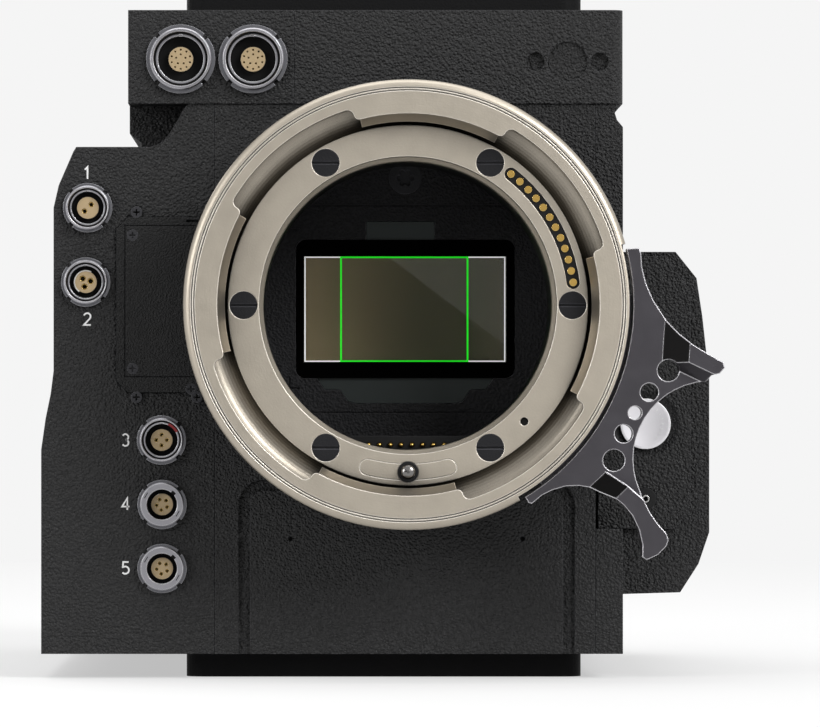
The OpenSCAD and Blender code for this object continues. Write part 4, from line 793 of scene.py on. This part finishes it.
    def finish(self, name: str, slot: str, finish: Finish, placing: Matrix, body: Body = Body.CAMERA,
               smooth: bool = False) -> bpy.types.Object:
        """Turns the mesh into a piece of the object.

        Args:
            name: The piece's name.
            slot: The record's material slot; not used.
            finish: The piece's surface.
            placing: The matrix from the piece's plane to the row frame.
            body: The body that the piece moves with.
            smooth: Whether round faces are shaded smoothly.

        Returns:
            The new object.
        """
        bmesh.ops.scale(self.mesh, vec=(MM, MM, MM), verts=self.mesh.verts)
        bmesh.ops.transform(self.mesh, matrix=placing, verts=self.mesh.verts)
        bmesh.ops.recalc_face_normals(self.mesh, faces=self.mesh.faces)
        data = bpy.data.meshes.new(name)
        self.mesh.to_mesh(data)
        self.mesh.free()
        data.materials.append(finish.material())
        piece = bpy.data.objects.new(name, data)
        bpy.context.scene.collection.objects.link(piece)
        if smooth:
            data.shade_smooth()
            data.set_sharp_from_angle(angle=math.radians(self.sharp_angle))
        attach(piece, body.value)
        return piece


@dataclass
class Digits:
    """Plain figures in a round-ended engineering hand, drawn as shares of their height."""

    height_mm: float = 2.4
    stroke_mm: float = 0.34
    ink_mm: float = 0.03
    field_share = (0.6, 0.5)
    lines = {
        "0": [arc_points((0.3, 0.7), 0.28, 0, 180) + arc_points((0.3, 0.3), 0.28, 180, 360) + [(0.58, 0.7)]],
        "1": [[(0.1, 0.78), (0.32, 1.0), (0.32, 0.0)]],
        "2": [arc_points((0.3, 0.72), 0.28, 165, -35) + [(0.02, 0.0), (0.6, 0.0)]],
        "3": [arc_points((0.28, 0.745), 0.255, 150, -90), arc_points((0.28, 0.265), 0.265, 90, -150)],
        "4": [[(0.62, 0.28), (0.0, 0.28), (0.44, 1.0), (0.44, 0.0)]],
        "5": [[(0.55, 1.0), (0.1, 1.0), (0.06, 0.56)] + arc_points((0.27, 0.31), 0.31, 125, -140, 14)],
    }

    def draw(self, shape: Shape, figure: str, right: float, middle: float) -> None:
        """Adds one figure to a mesh.

        Args:
            shape: The mesh.
            figure: The figure.
            right: The place of the figure's right side.
            middle: The place of its middle, upwards.
        """
        size = self.height_mm
        wide, half = self.field_share
        for line in self.lines[figure]:
            points = [(right + (x - wide) * size, middle + (y - half) * size) for x, y in line]
            shape.ribbon(points, self.stroke_mm, self.ink_mm)


class Group:
    """Solids that belong together, by material slot, and the details that the scene adds to them."""

    solids: Solids = {}

    def dress(self) -> None:
        """Gives each solid its finish and its slot."""
        for slot, nodes in self.solids.items():
            for node in nodes:
                dress(node, getattr(Finishes, slot))

    def build(self) -> None:
        """Builds what the solids leave to the scene, which is nothing unless a group says so."""


@dataclass
class LensMount(Group):
    """The flange with its contacts, the base behind it, and the bayonet ring with its lever."""

    vent: Pair = (23.3, -23.3)
    vent_steps: int = 24
    vent_cup: tuple[Pair, ...] = ((0.8, -0.15), (0.64, -0.3), (0.0, -0.35))
    solids = {
        "champagne_steel": ("lens_flange", "index_plate", "lock_ring"), "dark_screw": ("flange_screws",),
        "insulator": ("contact_insulator", "index_bush", "throat_block"), "bright_pin": ("index_pin",),
        "gold_contact": ("flange_contacts", "throat_contacts"), "black_anodised": ("mount_base",),
        "lever_metal": ("lock_lever",), "bright_screw": ("lever_screws",)}

    def build(self) -> None:
        """Lines the flange's vent hole with its dark filter plug and gives the index pin its own steel."""
        shape = Shape()
        shape.lathe(self.vent_cup, self.vent_steps, self.vent)
        shape.finish("vent_plug", "insulator", Finishes.seal_rubber, Face.FRONT.matrix(0.0), smooth=True)
        dress("index_pin", Finishes.index_steel)


@dataclass
class SensorStack(Group):
    """The bezel, filter holder, glass and sensor behind the mount, and the framing lines on the glass."""

    glass_y: float = 40.5
    line_half_z: float = 10.75
    line_ink_mm: float = 0.02
    outer_x: Pair = (-20.7, 20.6)
    outer_mm: float = 0.26
    inner_x: Pair = (-13.25, 12.9)
    inner_mm: float = 0.36
    solids = {
        "bezel_black": ("sensor_bezel",), "dark_screw": ("bezel_screw",), "filter_grey": ("filter_frame",),
        "mask_black": ("sensor_mask",), "filter_glass": ("cover_glass",), "sensor_dark": ("image_sensor",),
        "inner_metal": ("sensor_carrier", "heat_sink"), "circuit_board": ("sensor_board",)}

    def build(self) -> None:
        """Draws the two framing hairlines on the glass, the green one over the white one."""
        lines = (("frame_line_outer", self.outer_x, self.outer_mm, Finishes.white_line, 0.0),
                 ("frame_line_inner", self.inner_x, self.inner_mm, Finishes.green_line, self.line_ink_mm))
        high = self.line_half_z
        for name, (left, right), width, ink, lift in lines:
            shape = Shape()
            corners = [(left, -high), (right, -high), (right, high), (left, high)]
            shape.ribbon(corners, width, self.line_ink_mm, closed=True, lift=lift)
            shape.finish(name, "filter_glass", ink, Face.FRONT.matrix(self.glass_y))


@dataclass(frozen=True)
class Socket:
    """One round multi-pin socket: its place, its rings of pins, its nut and bore, its insert and its panel.

    A ring of pins is its count, its radius, its first angle and the holes' radius.
    """

    centre: Pair
    pins: tuple[tuple[int, float, float, float], ...]
    nut_r: float = 5.0
    bore: float = 3.95
    insert_r: float = 2.2
    panel_y: float = 20.0
    slits: bool = False

    def holes(self) -> list[Point]:
        """Gives each pin hole's place about the socket's middle, and its radius.

        Returns:
            Two places and a radius for each hole.
        """
        found = []
        for count, ring, first, radius in self.pins:
            turns = [math.radians(first + i * 360 / count) for i in range(count)]
            found += [(*polar((0.0, 0.0), ring, turn), radius) for turn in turns]
        return found


@dataclass
class SocketField(Group):
    """The round multi-pin sockets on the front, with their nuts, inserts, contacts, marks and figures."""

    front_y: float = 20.0
    steps: int = 64
    sink_mm: float = 0.05
    nut_rise: float = 2.0
    base_rise: float = 0.9
    disc_share: float = 0.9
    disc_overlap: float = 0.1
    disc_chamfer: float = 0.25
    rim_chamfer: float = 0.12
    rim_mm: float = 0.55
    hollow_share: float = 0.77
    notch_mm: float = 1.1
    notch_angles: tuple[float, ...] = (42.0, 135.0, 225.0, 315.0)
    slit_r: float = 3.75
    slit_spans: tuple[Pair, ...] = ((140, 160), (320, 340))
    slit_mm: float = 0.16
    keyway_reach: Pair = (3.0, 3.6)
    keyway_angle: float = 45.0
    keyway_mm: float = 0.9
    slit_ink: float = 0.02
    insert_levels: Point = (0.2, 10.0, 6.0)
    hole_steps: int = 20
    sleeve_gap: float = 0.02
    sleeve_mm: float = 0.17
    sleeve_share: float = 0.3
    sleeve_levels: Pair = (-0.35, -4.0)
    seal_share: float = 0.72
    seal_gap: float = 0.05
    seal_height: float = 1.45
    seal_lips: Pair = (0.2, 0.04)
    cup_share: float = 0.655
    cup_gap: float = 0.02
    cup_levels: Pair = (-1.2, -3.0)
    mark_arc: tuple[float, float, float, int] = (3.5, 66.0, 28.0, 12)
    mark_mm: Pair = (0.5, 0.04)
    mark_depth: float = 1.46
    shell_arc: tuple[float, float, float, int] = (2.33, 235.0, 62.0, 30)
    shell_mm: Pair = (0.24, 0.9)
    shell_lift: float = -0.6
    sockets: tuple[Socket, ...] = (
        Socket((-64.8, 20.2), ((2, 0.96, 45, 0.58),)),
        Socket((-65.2, 5.1), ((3, 0.97, 13, 0.66),)),
        Socket((-49.8, -27.0), ((4, 1.08, 0, 0.43),)),
        *(Socket((-49.7, z), ((5, 1.14, 45, 0.4),), bore=3.05, slits=True) for z in (-40.1, -53.1)),
        *(Socket((x, 50.4), ((5, 1.0, 90, 0.22), (10, 1.95, 90, 0.22)), 7.0, 5.5, 2.5, 19.5)
          for x in (-45.9, -31.2)))
    figures: tuple[tuple[str, float, float], ...] = (
        ("1", -64.2, 27.3), ("2", -64.2, -2.4), ("3", -56.4, -27.0), ("4", -56.4, -40.0), ("5", -56.4, -53.0))
    solids = {
        "socket_metal": ("power_sockets", "accessory_sockets", "data_sockets", "socket_nuts"),
        "insert_cream": ("socket_inserts",)}

    def front(self, depth: float = 0.0) -> Matrix:
        """Gives the placing of a flat detail at a depth behind the body's front."""
        return Face.FRONT.matrix(self.front_y + depth)

    def lift(self, socket: Socket) -> float:
        """Gives how far the socket's panel stands in front of the body's front."""
        return self.front_y - socket.panel_y

    def nuts(self) -> None:
        """Turns each nut as a notched base ring with a smaller chamfered disc in front of it."""
        shape = Shape()
        base = Shape()
        for s in self.sockets:
            level = self.lift(s)
            low, high = level - self.sink_mm, level + self.nut_rise
            disc = s.nut_r * self.disc_share
            inner = max(s.bore, s.nut_r * self.hollow_share)
            base.notched_ring((s.nut_r, disc - self.disc_overlap), self.notch_angles, self.notch_mm,
                              (low, level + self.base_rise), s.centre)
            shape.lathe([(disc, low), (disc, high - self.disc_chamfer), (disc - self.disc_chamfer, high),
                         (s.bore + self.rim_chamfer, high), (s.bore, high - self.rim_chamfer),
                         (s.bore, high - self.rim_mm), (inner, high - self.rim_mm), (inner, low)],
                        self.steps, s.centre)
        piece = shape.finish("socket_nuts_turned", "socket_metal", Finishes.socket_metal, self.front(),
                             smooth=True)
        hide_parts("socket_nuts")
        ring = base.finish("socket_nut_bases", "socket_metal", Finishes.nut_base, self.front())
        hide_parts("socket_nuts")

    def slits(self) -> None:
        """Marks the keyway and the two short spanner slits on the closed discs."""
        shape = Shape()
        turn = math.radians(self.keyway_angle)
        for s in self.sockets:
            if s.slits:
                for start, end in self.slit_spans:
                    slit = arc_points(s.centre, self.slit_r, start, end, 1)
                    shape.ribbon(slit, self.slit_mm, self.slit_ink)
                keyway = [polar(s.centre, reach, turn) for reach in self.keyway_reach]
                shape.ribbon(keyway, self.keyway_mm, self.slit_ink)
        shape.finish("socket_slits", "socket_metal", Finishes.seal_rubber, self.front(-self.nut_rise))

    def inserts(self) -> None:
        """Drills each cream insert for its own pins."""
        shape = Shape()
        for s in self.sockets:
            holes = [arc_points((x, y), r, 0, 360, self.hole_steps)[:-1] for x, y, r in s.holes()]
            shape.drilled_disc(s.insert_r, holes, *self.insert_levels, s.centre)
        piece = shape.finish("socket_inserts_drilled", "insert_cream", Finishes.insert_cream, self.front())
        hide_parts("socket_inserts")

    def contacts(self) -> None:
        """Lines each pin hole with a gold sleeve that stops a little below the insert's face."""
        shape = Shape()
        high, low = self.sleeve_levels
        for s in self.sockets:
            for x, y, radius in s.holes():
                outer = radius - self.sleeve_gap
                bore = outer - min(self.sleeve_mm, radius * self.sleeve_share)
                shape.lathe([(outer, high), (outer, low), (bore, low), (bore, high), (outer, high)],
                            self.hole_steps, (s.centre[0] + x, s.centre[1] + y))
        shape.finish("socket_contacts", "gold_contact", Finishes.gold_contact, self.front(), smooth=True)

    def seals(self) -> None:
        """Sets a black rubber ring in each nut without slits, and a black cup round each insert."""
        shape = Shape()
        deep, shallow = self.seal_lips
        near, far = self.cup_levels
        for s in self.sockets:
            if not s.slits:
                bore, wall = s.bore + self.seal_gap, s.nut_r * self.seal_share
                high = self.lift(s) + self.seal_height
                shape.lathe([(bore, high - deep), (bore, high), (wall, high), (wall, high - shallow)],
                            self.steps, s.centre)
            insert = s.insert_r + self.cup_gap
            cup = [(s.nut_r * self.cup_share, near), (insert, near), (insert, far)]
            shape.lathe(cup, self.steps, s.centre)
        shape.finish("socket_seals", "insulator", Finishes.seal_rubber, self.front(), smooth=True)

    def keys(self) -> None:
        """Adds the four-pin socket's red key mark and the half shell that keys the three-pin insert."""
        three, four = self.sockets[1:3]
        mark = Shape()
        mark.ribbon(arc_points(four.centre, *self.mark_arc), *self.mark_mm)
        mark.finish("socket_red_mark", "socket_metal", Finishes.red_ink, self.front(-self.mark_depth))
        shell = Shape()
        shell.ribbon(arc_points(three.centre, *self.shell_arc), *self.shell_mm, lift=self.shell_lift)
        shell.finish("socket_half_shell", "socket_metal", Finishes.white_polymer, self.front(), smooth=True)

    def numbers(self) -> None:
        """Prints a plain figure by each small socket."""
        shape = Shape()
        for figure, right, middle in self.figures:
            Digits().draw(shape, figure, right, middle)
        shape.finish("socket_figures", "body_black", Finishes.white_ink, self.front())

    def build(self) -> None:
        """Builds the sockets' own details."""
        self.nuts()
        self.slits()
        self.inserts()
        self.contacts()
        self.seals()
        self.keys()
        self.numbers()


@dataclass
class BodyShell(Group):
    """The front frame, covers, top and base plates, chassis and board, with their threads and screws."""

    front_y: float = 20.0
    plate_top: float = 65.4
    plate_low: float = -75.5
    thread_levels: Pair = (-5.0, -0.1)
    large_thread: Pair = (3.97, 1.5875)
    small_thread: Pair = (2.55, 1.27)
    thread_rows: Pair = (62.0, 102.0)
    thread_step: float = 13.0
    cap_r: float = 1.7
    cap_rise: float = 0.22
    head_rise: float = 0.03
    rim_r: float = 1.15
    rim_rise: float = 0.75
    rim_places: tuple[Pair, ...] = ((-54.9, 19.3), (-54.9, -18.3), (-42.6, -18.3))
    cap_rows = {
        "connector_side": (Face.CONNECTOR_SIDE, -74.3, [(-y, -62.0) for y in (28.0, 76.0, 124.0, 166.0)]),
        "operator_side": (Face.OPERATOR_SIDE, 44.0,
                          [(y, z) for y in (28.0, 97.0, 166.0) for z in (-65.0, 24.0)]),
        "shoulder": (Face.TOP, 60.4, [(x, y) for x in (-51.0, 40.0) for y in (40.0, 95.0, 150.0)]),
        "underside": (Face.UNDERSIDE, -70.5, [(x, -y) for x in (-60.0, 40.0) for y in (40.0, 95.0, 150.0)]),
        "rear": (Face.BACK, 180.0, [(68.0, -64.0), (66.0, 26.0), (50.0, 54.0), (0.0, 54.0), (-39.0, 54.0),
                                    (-39.0, -64.0), (14.0, -64.0)]),
    }
    solids = {
        "body_black": ("front_frame", "connector_cover", "connector_panel", "upper_front_cover",
                       "upper_housing"),
        "smooth_black": ("access_panel", "top_plate", "base_plate"), "dark_screw": ("panel_screws",),
        "inner_metal": ("chassis",), "circuit_board": ("processor_board",)}

    def threads(self) -> None:
        """Cuts the tripod threads' ridges into the plates' eight holes."""
        for name, face, level, flip in (("top", Face.TOP, self.plate_top, 1),
                                        ("base", Face.UNDERSIDE, self.plate_low, -1)):
            shape = Shape()
            for y in self.thread_rows:
                shape.thread(*self.large_thread, self.thread_levels, (0.0, y * flip))
                shape.thread(*self.small_thread, self.thread_levels, (0.0, (y + self.thread_step) * flip))
            shape.finish(f"{name}_threads", "bright_screw", Finishes.bright_screw, face.matrix(level),
                         smooth=True)

    def cap_screws(self) -> None:
        """Seats the covers' socket-head screws on the sides, shoulders, rear and underside."""
        for name, (face, level, places) in self.cap_rows.items():
            shape = Shape()
            for place in places:
                shape.socket_screw(self.cap_r, self.cap_rise, place)
            shape.finish(f"{name}_screws", "dark_screw", Finishes.dark_screw, face.matrix(level))

    def panel_screws(self) -> None:
        """Gives the access panel's screws cross recesses, and seats small ones round it, half in its edge."""
        heads = Shape()
        for (x1, z1), (x2, z2) in islands("panel_screws"):
            heads.cross_screw((x2 - x1) / 2, self.head_rise, ((x1 + x2) / 2, (z1 + z2) / 2))
        placing = Face.FRONT.matrix(front_of("panel_screws"))
        piece = heads.finish("panel_screws_crossed", "dark_screw", Finishes.cross_steel, placing)
        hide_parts("panel_screws")
        rim = Shape()
        for place in self.rim_places:
            rim.cross_screw(self.rim_r, self.rim_rise, place)
        rim.finish("panel_rim_screws", "dark_screw", Finishes.cross_steel, Face.FRONT.matrix(self.front_y))

    def build(self) -> None:
        """Builds the threads and screws, and gives the access panel its thinner coat, darkened partly as
        painted shade.
        """
        self.threads()
        dress("access_panel", Finishes.panel_coat)
        self.cap_screws()
        self.panel_screws()


class Cooling(Group):
    """The fan, its frame and its grille."""

    solids = {"fan_plastic": ("fan_frame", "fan_rotor"), "smooth_black": ("fan_grille",)}


@dataclass
class MediaBay(Group):
    """The card bay, its door and hinge pin, with the card connector's springs."""

    bay_back_x: float = -46.8
    bay_y: Pair = (130.0, 162.0)
    bay_z: Pair = (-2.0, 10.0)
    pitch: float = 1.4
    end_gap: float = 3.0
    row_offset: float = 1.5
    spring_half: Pair = (0.35, 0.5)
    spring_rise: float = 1.6
    spring_bevel: float = 0.12
    solids = {
        "smooth_black": ("media_bay",), "body_black": ("media_door",), "bright_pin": ("door_pin",)}

    def build(self) -> None:
        """Adds the card connector's two rows of springs at the bay's end."""
        shape = Shape()
        wide, tall = self.spring_half
        count = int((self.bay_y[1] - self.bay_y[0] - 2 * self.end_gap) / self.pitch)
        for i in range(count):
            y = sum(self.bay_y) / 2 + (i - (count - 1) / 2) * self.pitch
            for side in (-1, 1):
                z = sum(self.bay_z) / 2 + side * self.row_offset
                shape.block((-y - wide, z - tall, 0.0), (-y + wide, z + tall, self.spring_rise),
                            self.spring_bevel)
        placing = Face.CONNECTOR_SIDE.matrix(self.bay_back_x)
        shape.finish("card_contacts", "gold_contact", Finishes.gold_contact, placing)


@dataclass
class OperatorSide(Group):
    """The hump with its button panel, record button, display, keys, dial and jack."""

    record: Pair = (48.9, -23.7)
    record_y: float = 25.5
    tick_count: int = 7
    tick_span: float = 100.0
    tick_reach: Pair = (3.3, 3.8)
    tick_mm: Pair = (0.13, 0.02)
    tick_proud: float = 0.18
    jack: Pair = (48.9, -39.0)
    jack_steps: int = 32
    jack_sleeve: tuple[Pair, ...] = ((0.78, -0.6), (0.78, 0.05), (0.5, 0.05), (0.5, -0.6))
    side_x: float = 62.0
    dial_place: Pair = (52.0, -30.0)
    dial_rise: float = 0.6
    dial_steps: int = 64
    dial_profile: tuple[Pair, ...] = (
        (6.0, -0.2), (6.0, 0.4), (5.8, 0.6), (3.2, 0.6), (2.9, 0.35), (0.0, 0.35))
    pointer_reach: Pair = (3.6, 5.3)
    pointer_mm: Pair = (0.6, 0.03)
    solids = {
        "body_black": ("operator_cover", "button_panel"), "button_silver": ("record_button",),
        "insulator": ("remote_jack",), "screen_glass": ("display_glass",), "smooth_black": ("jog_dial",),
        "button_grey": ("menu_button_upper", "menu_button_middle", "menu_button_lower")}

    def dial(self) -> None:
        """Sinks the jog dial nearly flush in the hump's side, with a white pointer."""
        placing = Face.OPERATOR_SIDE.matrix(self.side_x)
        shape = Shape()
        shape.lathe(self.dial_profile, self.dial_steps, self.dial_place)
        piece = shape.finish("jog_dial_flush", "smooth_black", Finishes.smooth_black, placing, Body.DIAL,
                             smooth=True)
        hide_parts("jog_dial")
        y, z = self.dial_place
        mark = Shape()
        mark.ribbon([(y, z + reach) for reach in self.pointer_reach], *self.pointer_mm, lift=self.dial_rise)
        mark.finish("dial_pointer", "button_grey", Finishes.white_ink, placing, Body.DIAL)

    def build(self) -> None:
        """Builds the dial, the jack's bright sleeve, and the ticks along the record button's right rim."""
        self.dial()
        sleeve = Shape()
        sleeve.lathe(self.jack_sleeve, self.jack_steps, self.jack)
        placing = Face.FRONT.matrix(front_of("remote_jack"))
        sleeve.finish("jack_sleeve", "bright_pin", Finishes.bright_pin, placing, smooth=True)
        ticks = Shape()
        for i in range(self.tick_count):
            angle = math.radians((i / (self.tick_count - 1) - 0.5) * self.tick_span)
            ticks.ribbon([polar(self.record, reach, angle) for reach in self.tick_reach], *self.tick_mm)
        placing = Face.FRONT.matrix(self.record_y - self.tick_proud)
        ticks.finish("record_ticks", "button_silver", Finishes.white_ink, placing, Body.RECORD_KEY)


@dataclass
class RearPanel(Group):
    """The rear panel with its video sockets, switch and battery plate."""

    face_y: float = 180.0
    socket_x: float = -56.0
    socket_z: tuple[float, ...] = (22.0, 6.0, -10.0, -26.0)
    core_depth: float = 2.5
    core_steps: int = 40
    core: tuple[Pair, ...] = (
        (3.15, 0.0), (3.15, 3.0), (2.0, 3.0), (2.0, 6.6), (1.1, 6.6), (1.1, 4.0), (0.95, 4.0))
    figure_mm: float = 2.8
    switch_figures: tuple[tuple[str, float], ...] = (("1", -36.8), ("0", -59.2))
    switch_shift: float = 0.8
    socket_shift: float = -7.6
    solids = {
        "body_black": ("rear_panel",), "socket_metal": ("video_sockets",),
        "gold_contact": ("battery_contacts",),
        "smooth_black": ("power_switch", "battery_plate"), "release_red": ("battery_release",)}

    def build(self) -> None:
        """Fills the video sockets with white insulators, and prints figures by them and the switch."""
        cores = Shape()
        figures = Shape()
        hand = Digits(height_mm=self.figure_mm)
        for figure, z in self.switch_figures:
            hand.draw(figures, figure, -self.socket_x + self.switch_shift, z)
        for number, z in enumerate(self.socket_z, 1):
            cores.lathe(self.core, self.core_steps, (-self.socket_x, z))
            hand.draw(figures, str(number), -self.socket_x + self.socket_shift, z)
        placing = Face.BACK.matrix(self.face_y - self.core_depth)
        cores.finish("video_insulators", "insert_cream", Finishes.white_polymer, placing, smooth=True)
        figures.finish("rear_figures", "body_black", Finishes.white_ink, Face.BACK.matrix(self.face_y))


@dataclass(frozen=True)
class Lamp:
    """One soft box: its place in millimetres, its width and height in metres, and its power in watts."""

    name: str
    place: Point
    size: Pair
    watts: float

    def hang(self, aim: Point) -> None:
        """Hangs the soft box.

        Args:
            aim: The point that it faces, in millimetres.
        """
        data = bpy.data.lights.new(self.name, "AREA")
        data.shape = "RECTANGLE"
        data.size, data.size_y = self.size
        data.energy = self.watts
        lamp = bpy.data.objects.new(self.name, data)
        lamp.location = Vector(self.place) * MM
        lamp.rotation_euler = (Vector(aim) - Vector(self.place)).to_track_quat("-Z", "Y").to_euler()
        bpy.context.scene.collection.objects.link(lamp)


@dataclass
class Studio:
    """A pale floor, soft lamps, a flag behind the camera, and the photograph's viewpoint."""

    floor_z: float = -75.5
    floor_colour: str = "#f5f5f5"
    floor_glow: float = 0.55
    floor_fade: Pair = (0.35, 1.1)
    floor_half: float = 9000.0
    room_colour: str = "#ffffff"
    room_light: float = 0.35
    flag_colour: str = "#1c1c1c"
    flag_edge: Point = (45.9, -1700.0, 38.6)
    flag_turn: float = -37.1
    flag_half: float = 1500.0
    flag_drop: float = 1600.0
    camera_mm: Point = (-17.7, -1200.0, -24.8)
    image_px: tuple[int, int] = (820, 727)
    axis_px: Pair = (319.5, 429.2)
    mm_per_px: float = 0.2
    sensor_mm: float = 36.0
    clip_m: Pair = (0.05, 20.0)
    lamp_aim: Point = (0.0, 60.0, 0.0)
    lamps: tuple[Lamp, ...] = (
        Lamp("key", (1150, -1250, 950), (0.8, 0.8), 29),
        Lamp("fill", (-1300, -1100, 420), (0.6, 0.6), 9),
        Lamp("overhead", (0, 100, 1500), (1.6, 1.2), 12),
        Lamp("rear_fill", (-700, 1600, 700), (1.2, 1.2), 14))

    def camera(self) -> None:
        """Sets up the photograph's level camera."""
        distance = -self.camera_mm[1]
        width, height = self.image_px
        data = bpy.data.cameras.new("photo_camera")
        data.sensor_fit = "HORIZONTAL"
        data.sensor_width = self.sensor_mm
        data.lens = self.sensor_mm * distance / (width * self.mm_per_px)
        data.shift_x = (width / 2 - self.axis_px[0]) / width
        data.shift_y = (self.axis_px[1] - height / 2) / width
        data.clip_start, data.clip_end = self.clip_m
        camera = bpy.data.objects.new("photo_camera", data)
        camera.location = Vector(self.camera_mm) * MM
        camera.rotation_euler = (math.radians(90), 0, 0)
        bpy.context.scene.collection.objects.link(camera)
        bpy.context.scene.camera = camera

    def floor_material(self) -> bpy.types.Material:
        """Makes the matt paper: it takes the shadow nearby, and fades to the backdrop's tone far off.

        Returns:
            The material, which is clear from below.
        """
        made = bpy.data.materials.new("floor_paper")
        tree = empty_tree(made)
        place = add_node(tree, "ShaderNodeTexCoord").outputs["Object"]
        away = reckon_vector(tree, "LENGTH", place)
        glow = rescale(tree, away, self.floor_fade, (self.floor_glow, 1.0))
        power = reckon(tree, "MULTIPLY", backdrop_rays(tree), glow)
        colour = linear(self.floor_colour)
        tone = mix_colour(tree, glow, colour, (0.0, 0.0, 0.0, 1.0))
        light = add_node(tree, "ShaderNodeEmission", {"Color": colour, "Strength": power}).outputs[0]
        paper = add_node(tree, "ShaderNodeBsdfDiffuse", {"Color": tone}).outputs[0]
        both = add_node(tree, "ShaderNodeAddShader", {0: light, 1: paper}).outputs[0]
        below = add_node(tree, "ShaderNodeNewGeometry").outputs["Backfacing"]
        clear = add_node(tree, "ShaderNodeBsdfTransparent").outputs[0]
        sided = add_node(tree, "ShaderNodeMixShader", {0: below, 1: both, 2: clear}).outputs[0]
        add_node(tree, "ShaderNodeOutputMaterial", {"Surface": sided})
        return made

    def flag_material(self) -> bpy.types.Material:
        """Makes the black cloth of the flag.

        Returns:
            The material, which the camera doesn't see.
        """
        made = bpy.data.materials.new("flag_cloth")
        tree = empty_tree(made)
        seen = add_node(tree, "ShaderNodeLightPath").outputs["Is Camera Ray"]
        cloth = add_node(tree, "ShaderNodeBsdfDiffuse", {"Color": linear(self.flag_colour)}).outputs[0]
        clear = add_node(tree, "ShaderNodeBsdfTransparent").outputs[0]
        pick = add_node(tree, "ShaderNodeMixShader", {0: seen, 1: cloth, 2: clear}).outputs[0]
        add_node(tree, "ShaderNodeOutputMaterial", {"Surface": pick})
        return made

    def sheet(self, name: str, corners: list[Point], material: bpy.types.Material) -> None:
        """Hangs one flat sheet.

        Args:
            name: The sheet's name.
            corners: Its corners in millimetres.
            material: Its material.
        """
        data = bpy.data.meshes.new(name)
        data.from_pydata([tuple(Vector(c) * MM) for c in corners], [], [tuple(range(len(corners)))])
        data.materials.append(material)
        made = bpy.data.objects.new(name, data)
        bpy.context.scene.collection.objects.link(made)

    def sheets(self) -> None:
        """Lays the floor, and hangs a black flag behind the camera for the sensor's glass to mirror."""
        half, z = self.floor_half, self.floor_z
        corners = [(-half, -half, z), (half, -half, z), (half, half, z), (-half, half, z)]
        self.sheet("floor", corners, self.floor_material())
        turn = math.radians(self.flag_turn)
        run = Vector((math.cos(turn), 0, math.sin(turn)))
        down = Vector((run.z, 0, -run.x)) * self.flag_drop
        ends = [Vector(self.flag_edge) + run * side * self.flag_half for side in (-1, 1)]
        self.sheet("flag", [*ends, ends[1] + down, ends[0] + down], self.flag_material())

    def world(self) -> None:
        """Fills the room with an even pale light; the camera, metal and glass see the backdrop's tone."""
        world = bpy.data.worlds.new("studio_room")
        bpy.context.scene.world = world
        tree = empty_tree(world)
        room = {"Color": linear(self.room_colour), "Strength": self.room_light}
        tone = {"Color": linear(self.floor_colour), "Strength": 1.0}
        pick = add_node(tree, "ShaderNodeMixShader", {
            0: backdrop_rays(tree), 1: add_node(tree, "ShaderNodeBackground", room).outputs[0],
            2: add_node(tree, "ShaderNodeBackground", tone).outputs[0]})
        add_node(tree, "ShaderNodeOutputWorld", {"Surface": pick.outputs[0]})

    def build(self) -> None:
        """Builds the whole stage."""
        self.sheets()
        self.world()
        for lamp in self.lamps:
            lamp.hang(self.lamp_aim)
        self.camera()
        bpy.context.scene.view_settings.view_transform = "Standard"


def main() -> None:
    """Dresses each sub-assembly in order, builds its details and sets the stage."""
    logging.basicConfig(level=logging.INFO, format="%(message)s")
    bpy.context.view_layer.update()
    for group in (LensMount(), SensorStack(), SocketField(), BodyShell(), Cooling(), MediaBay(),
                  OperatorSide(), RearPanel()):
        group.dress()
        group.build()
        LOG.info("%s: %d solids dressed", type(group).__name__, sum(map(len, group.solids.values())))
    Studio().build()


if __name__ == "__main__":
    main()
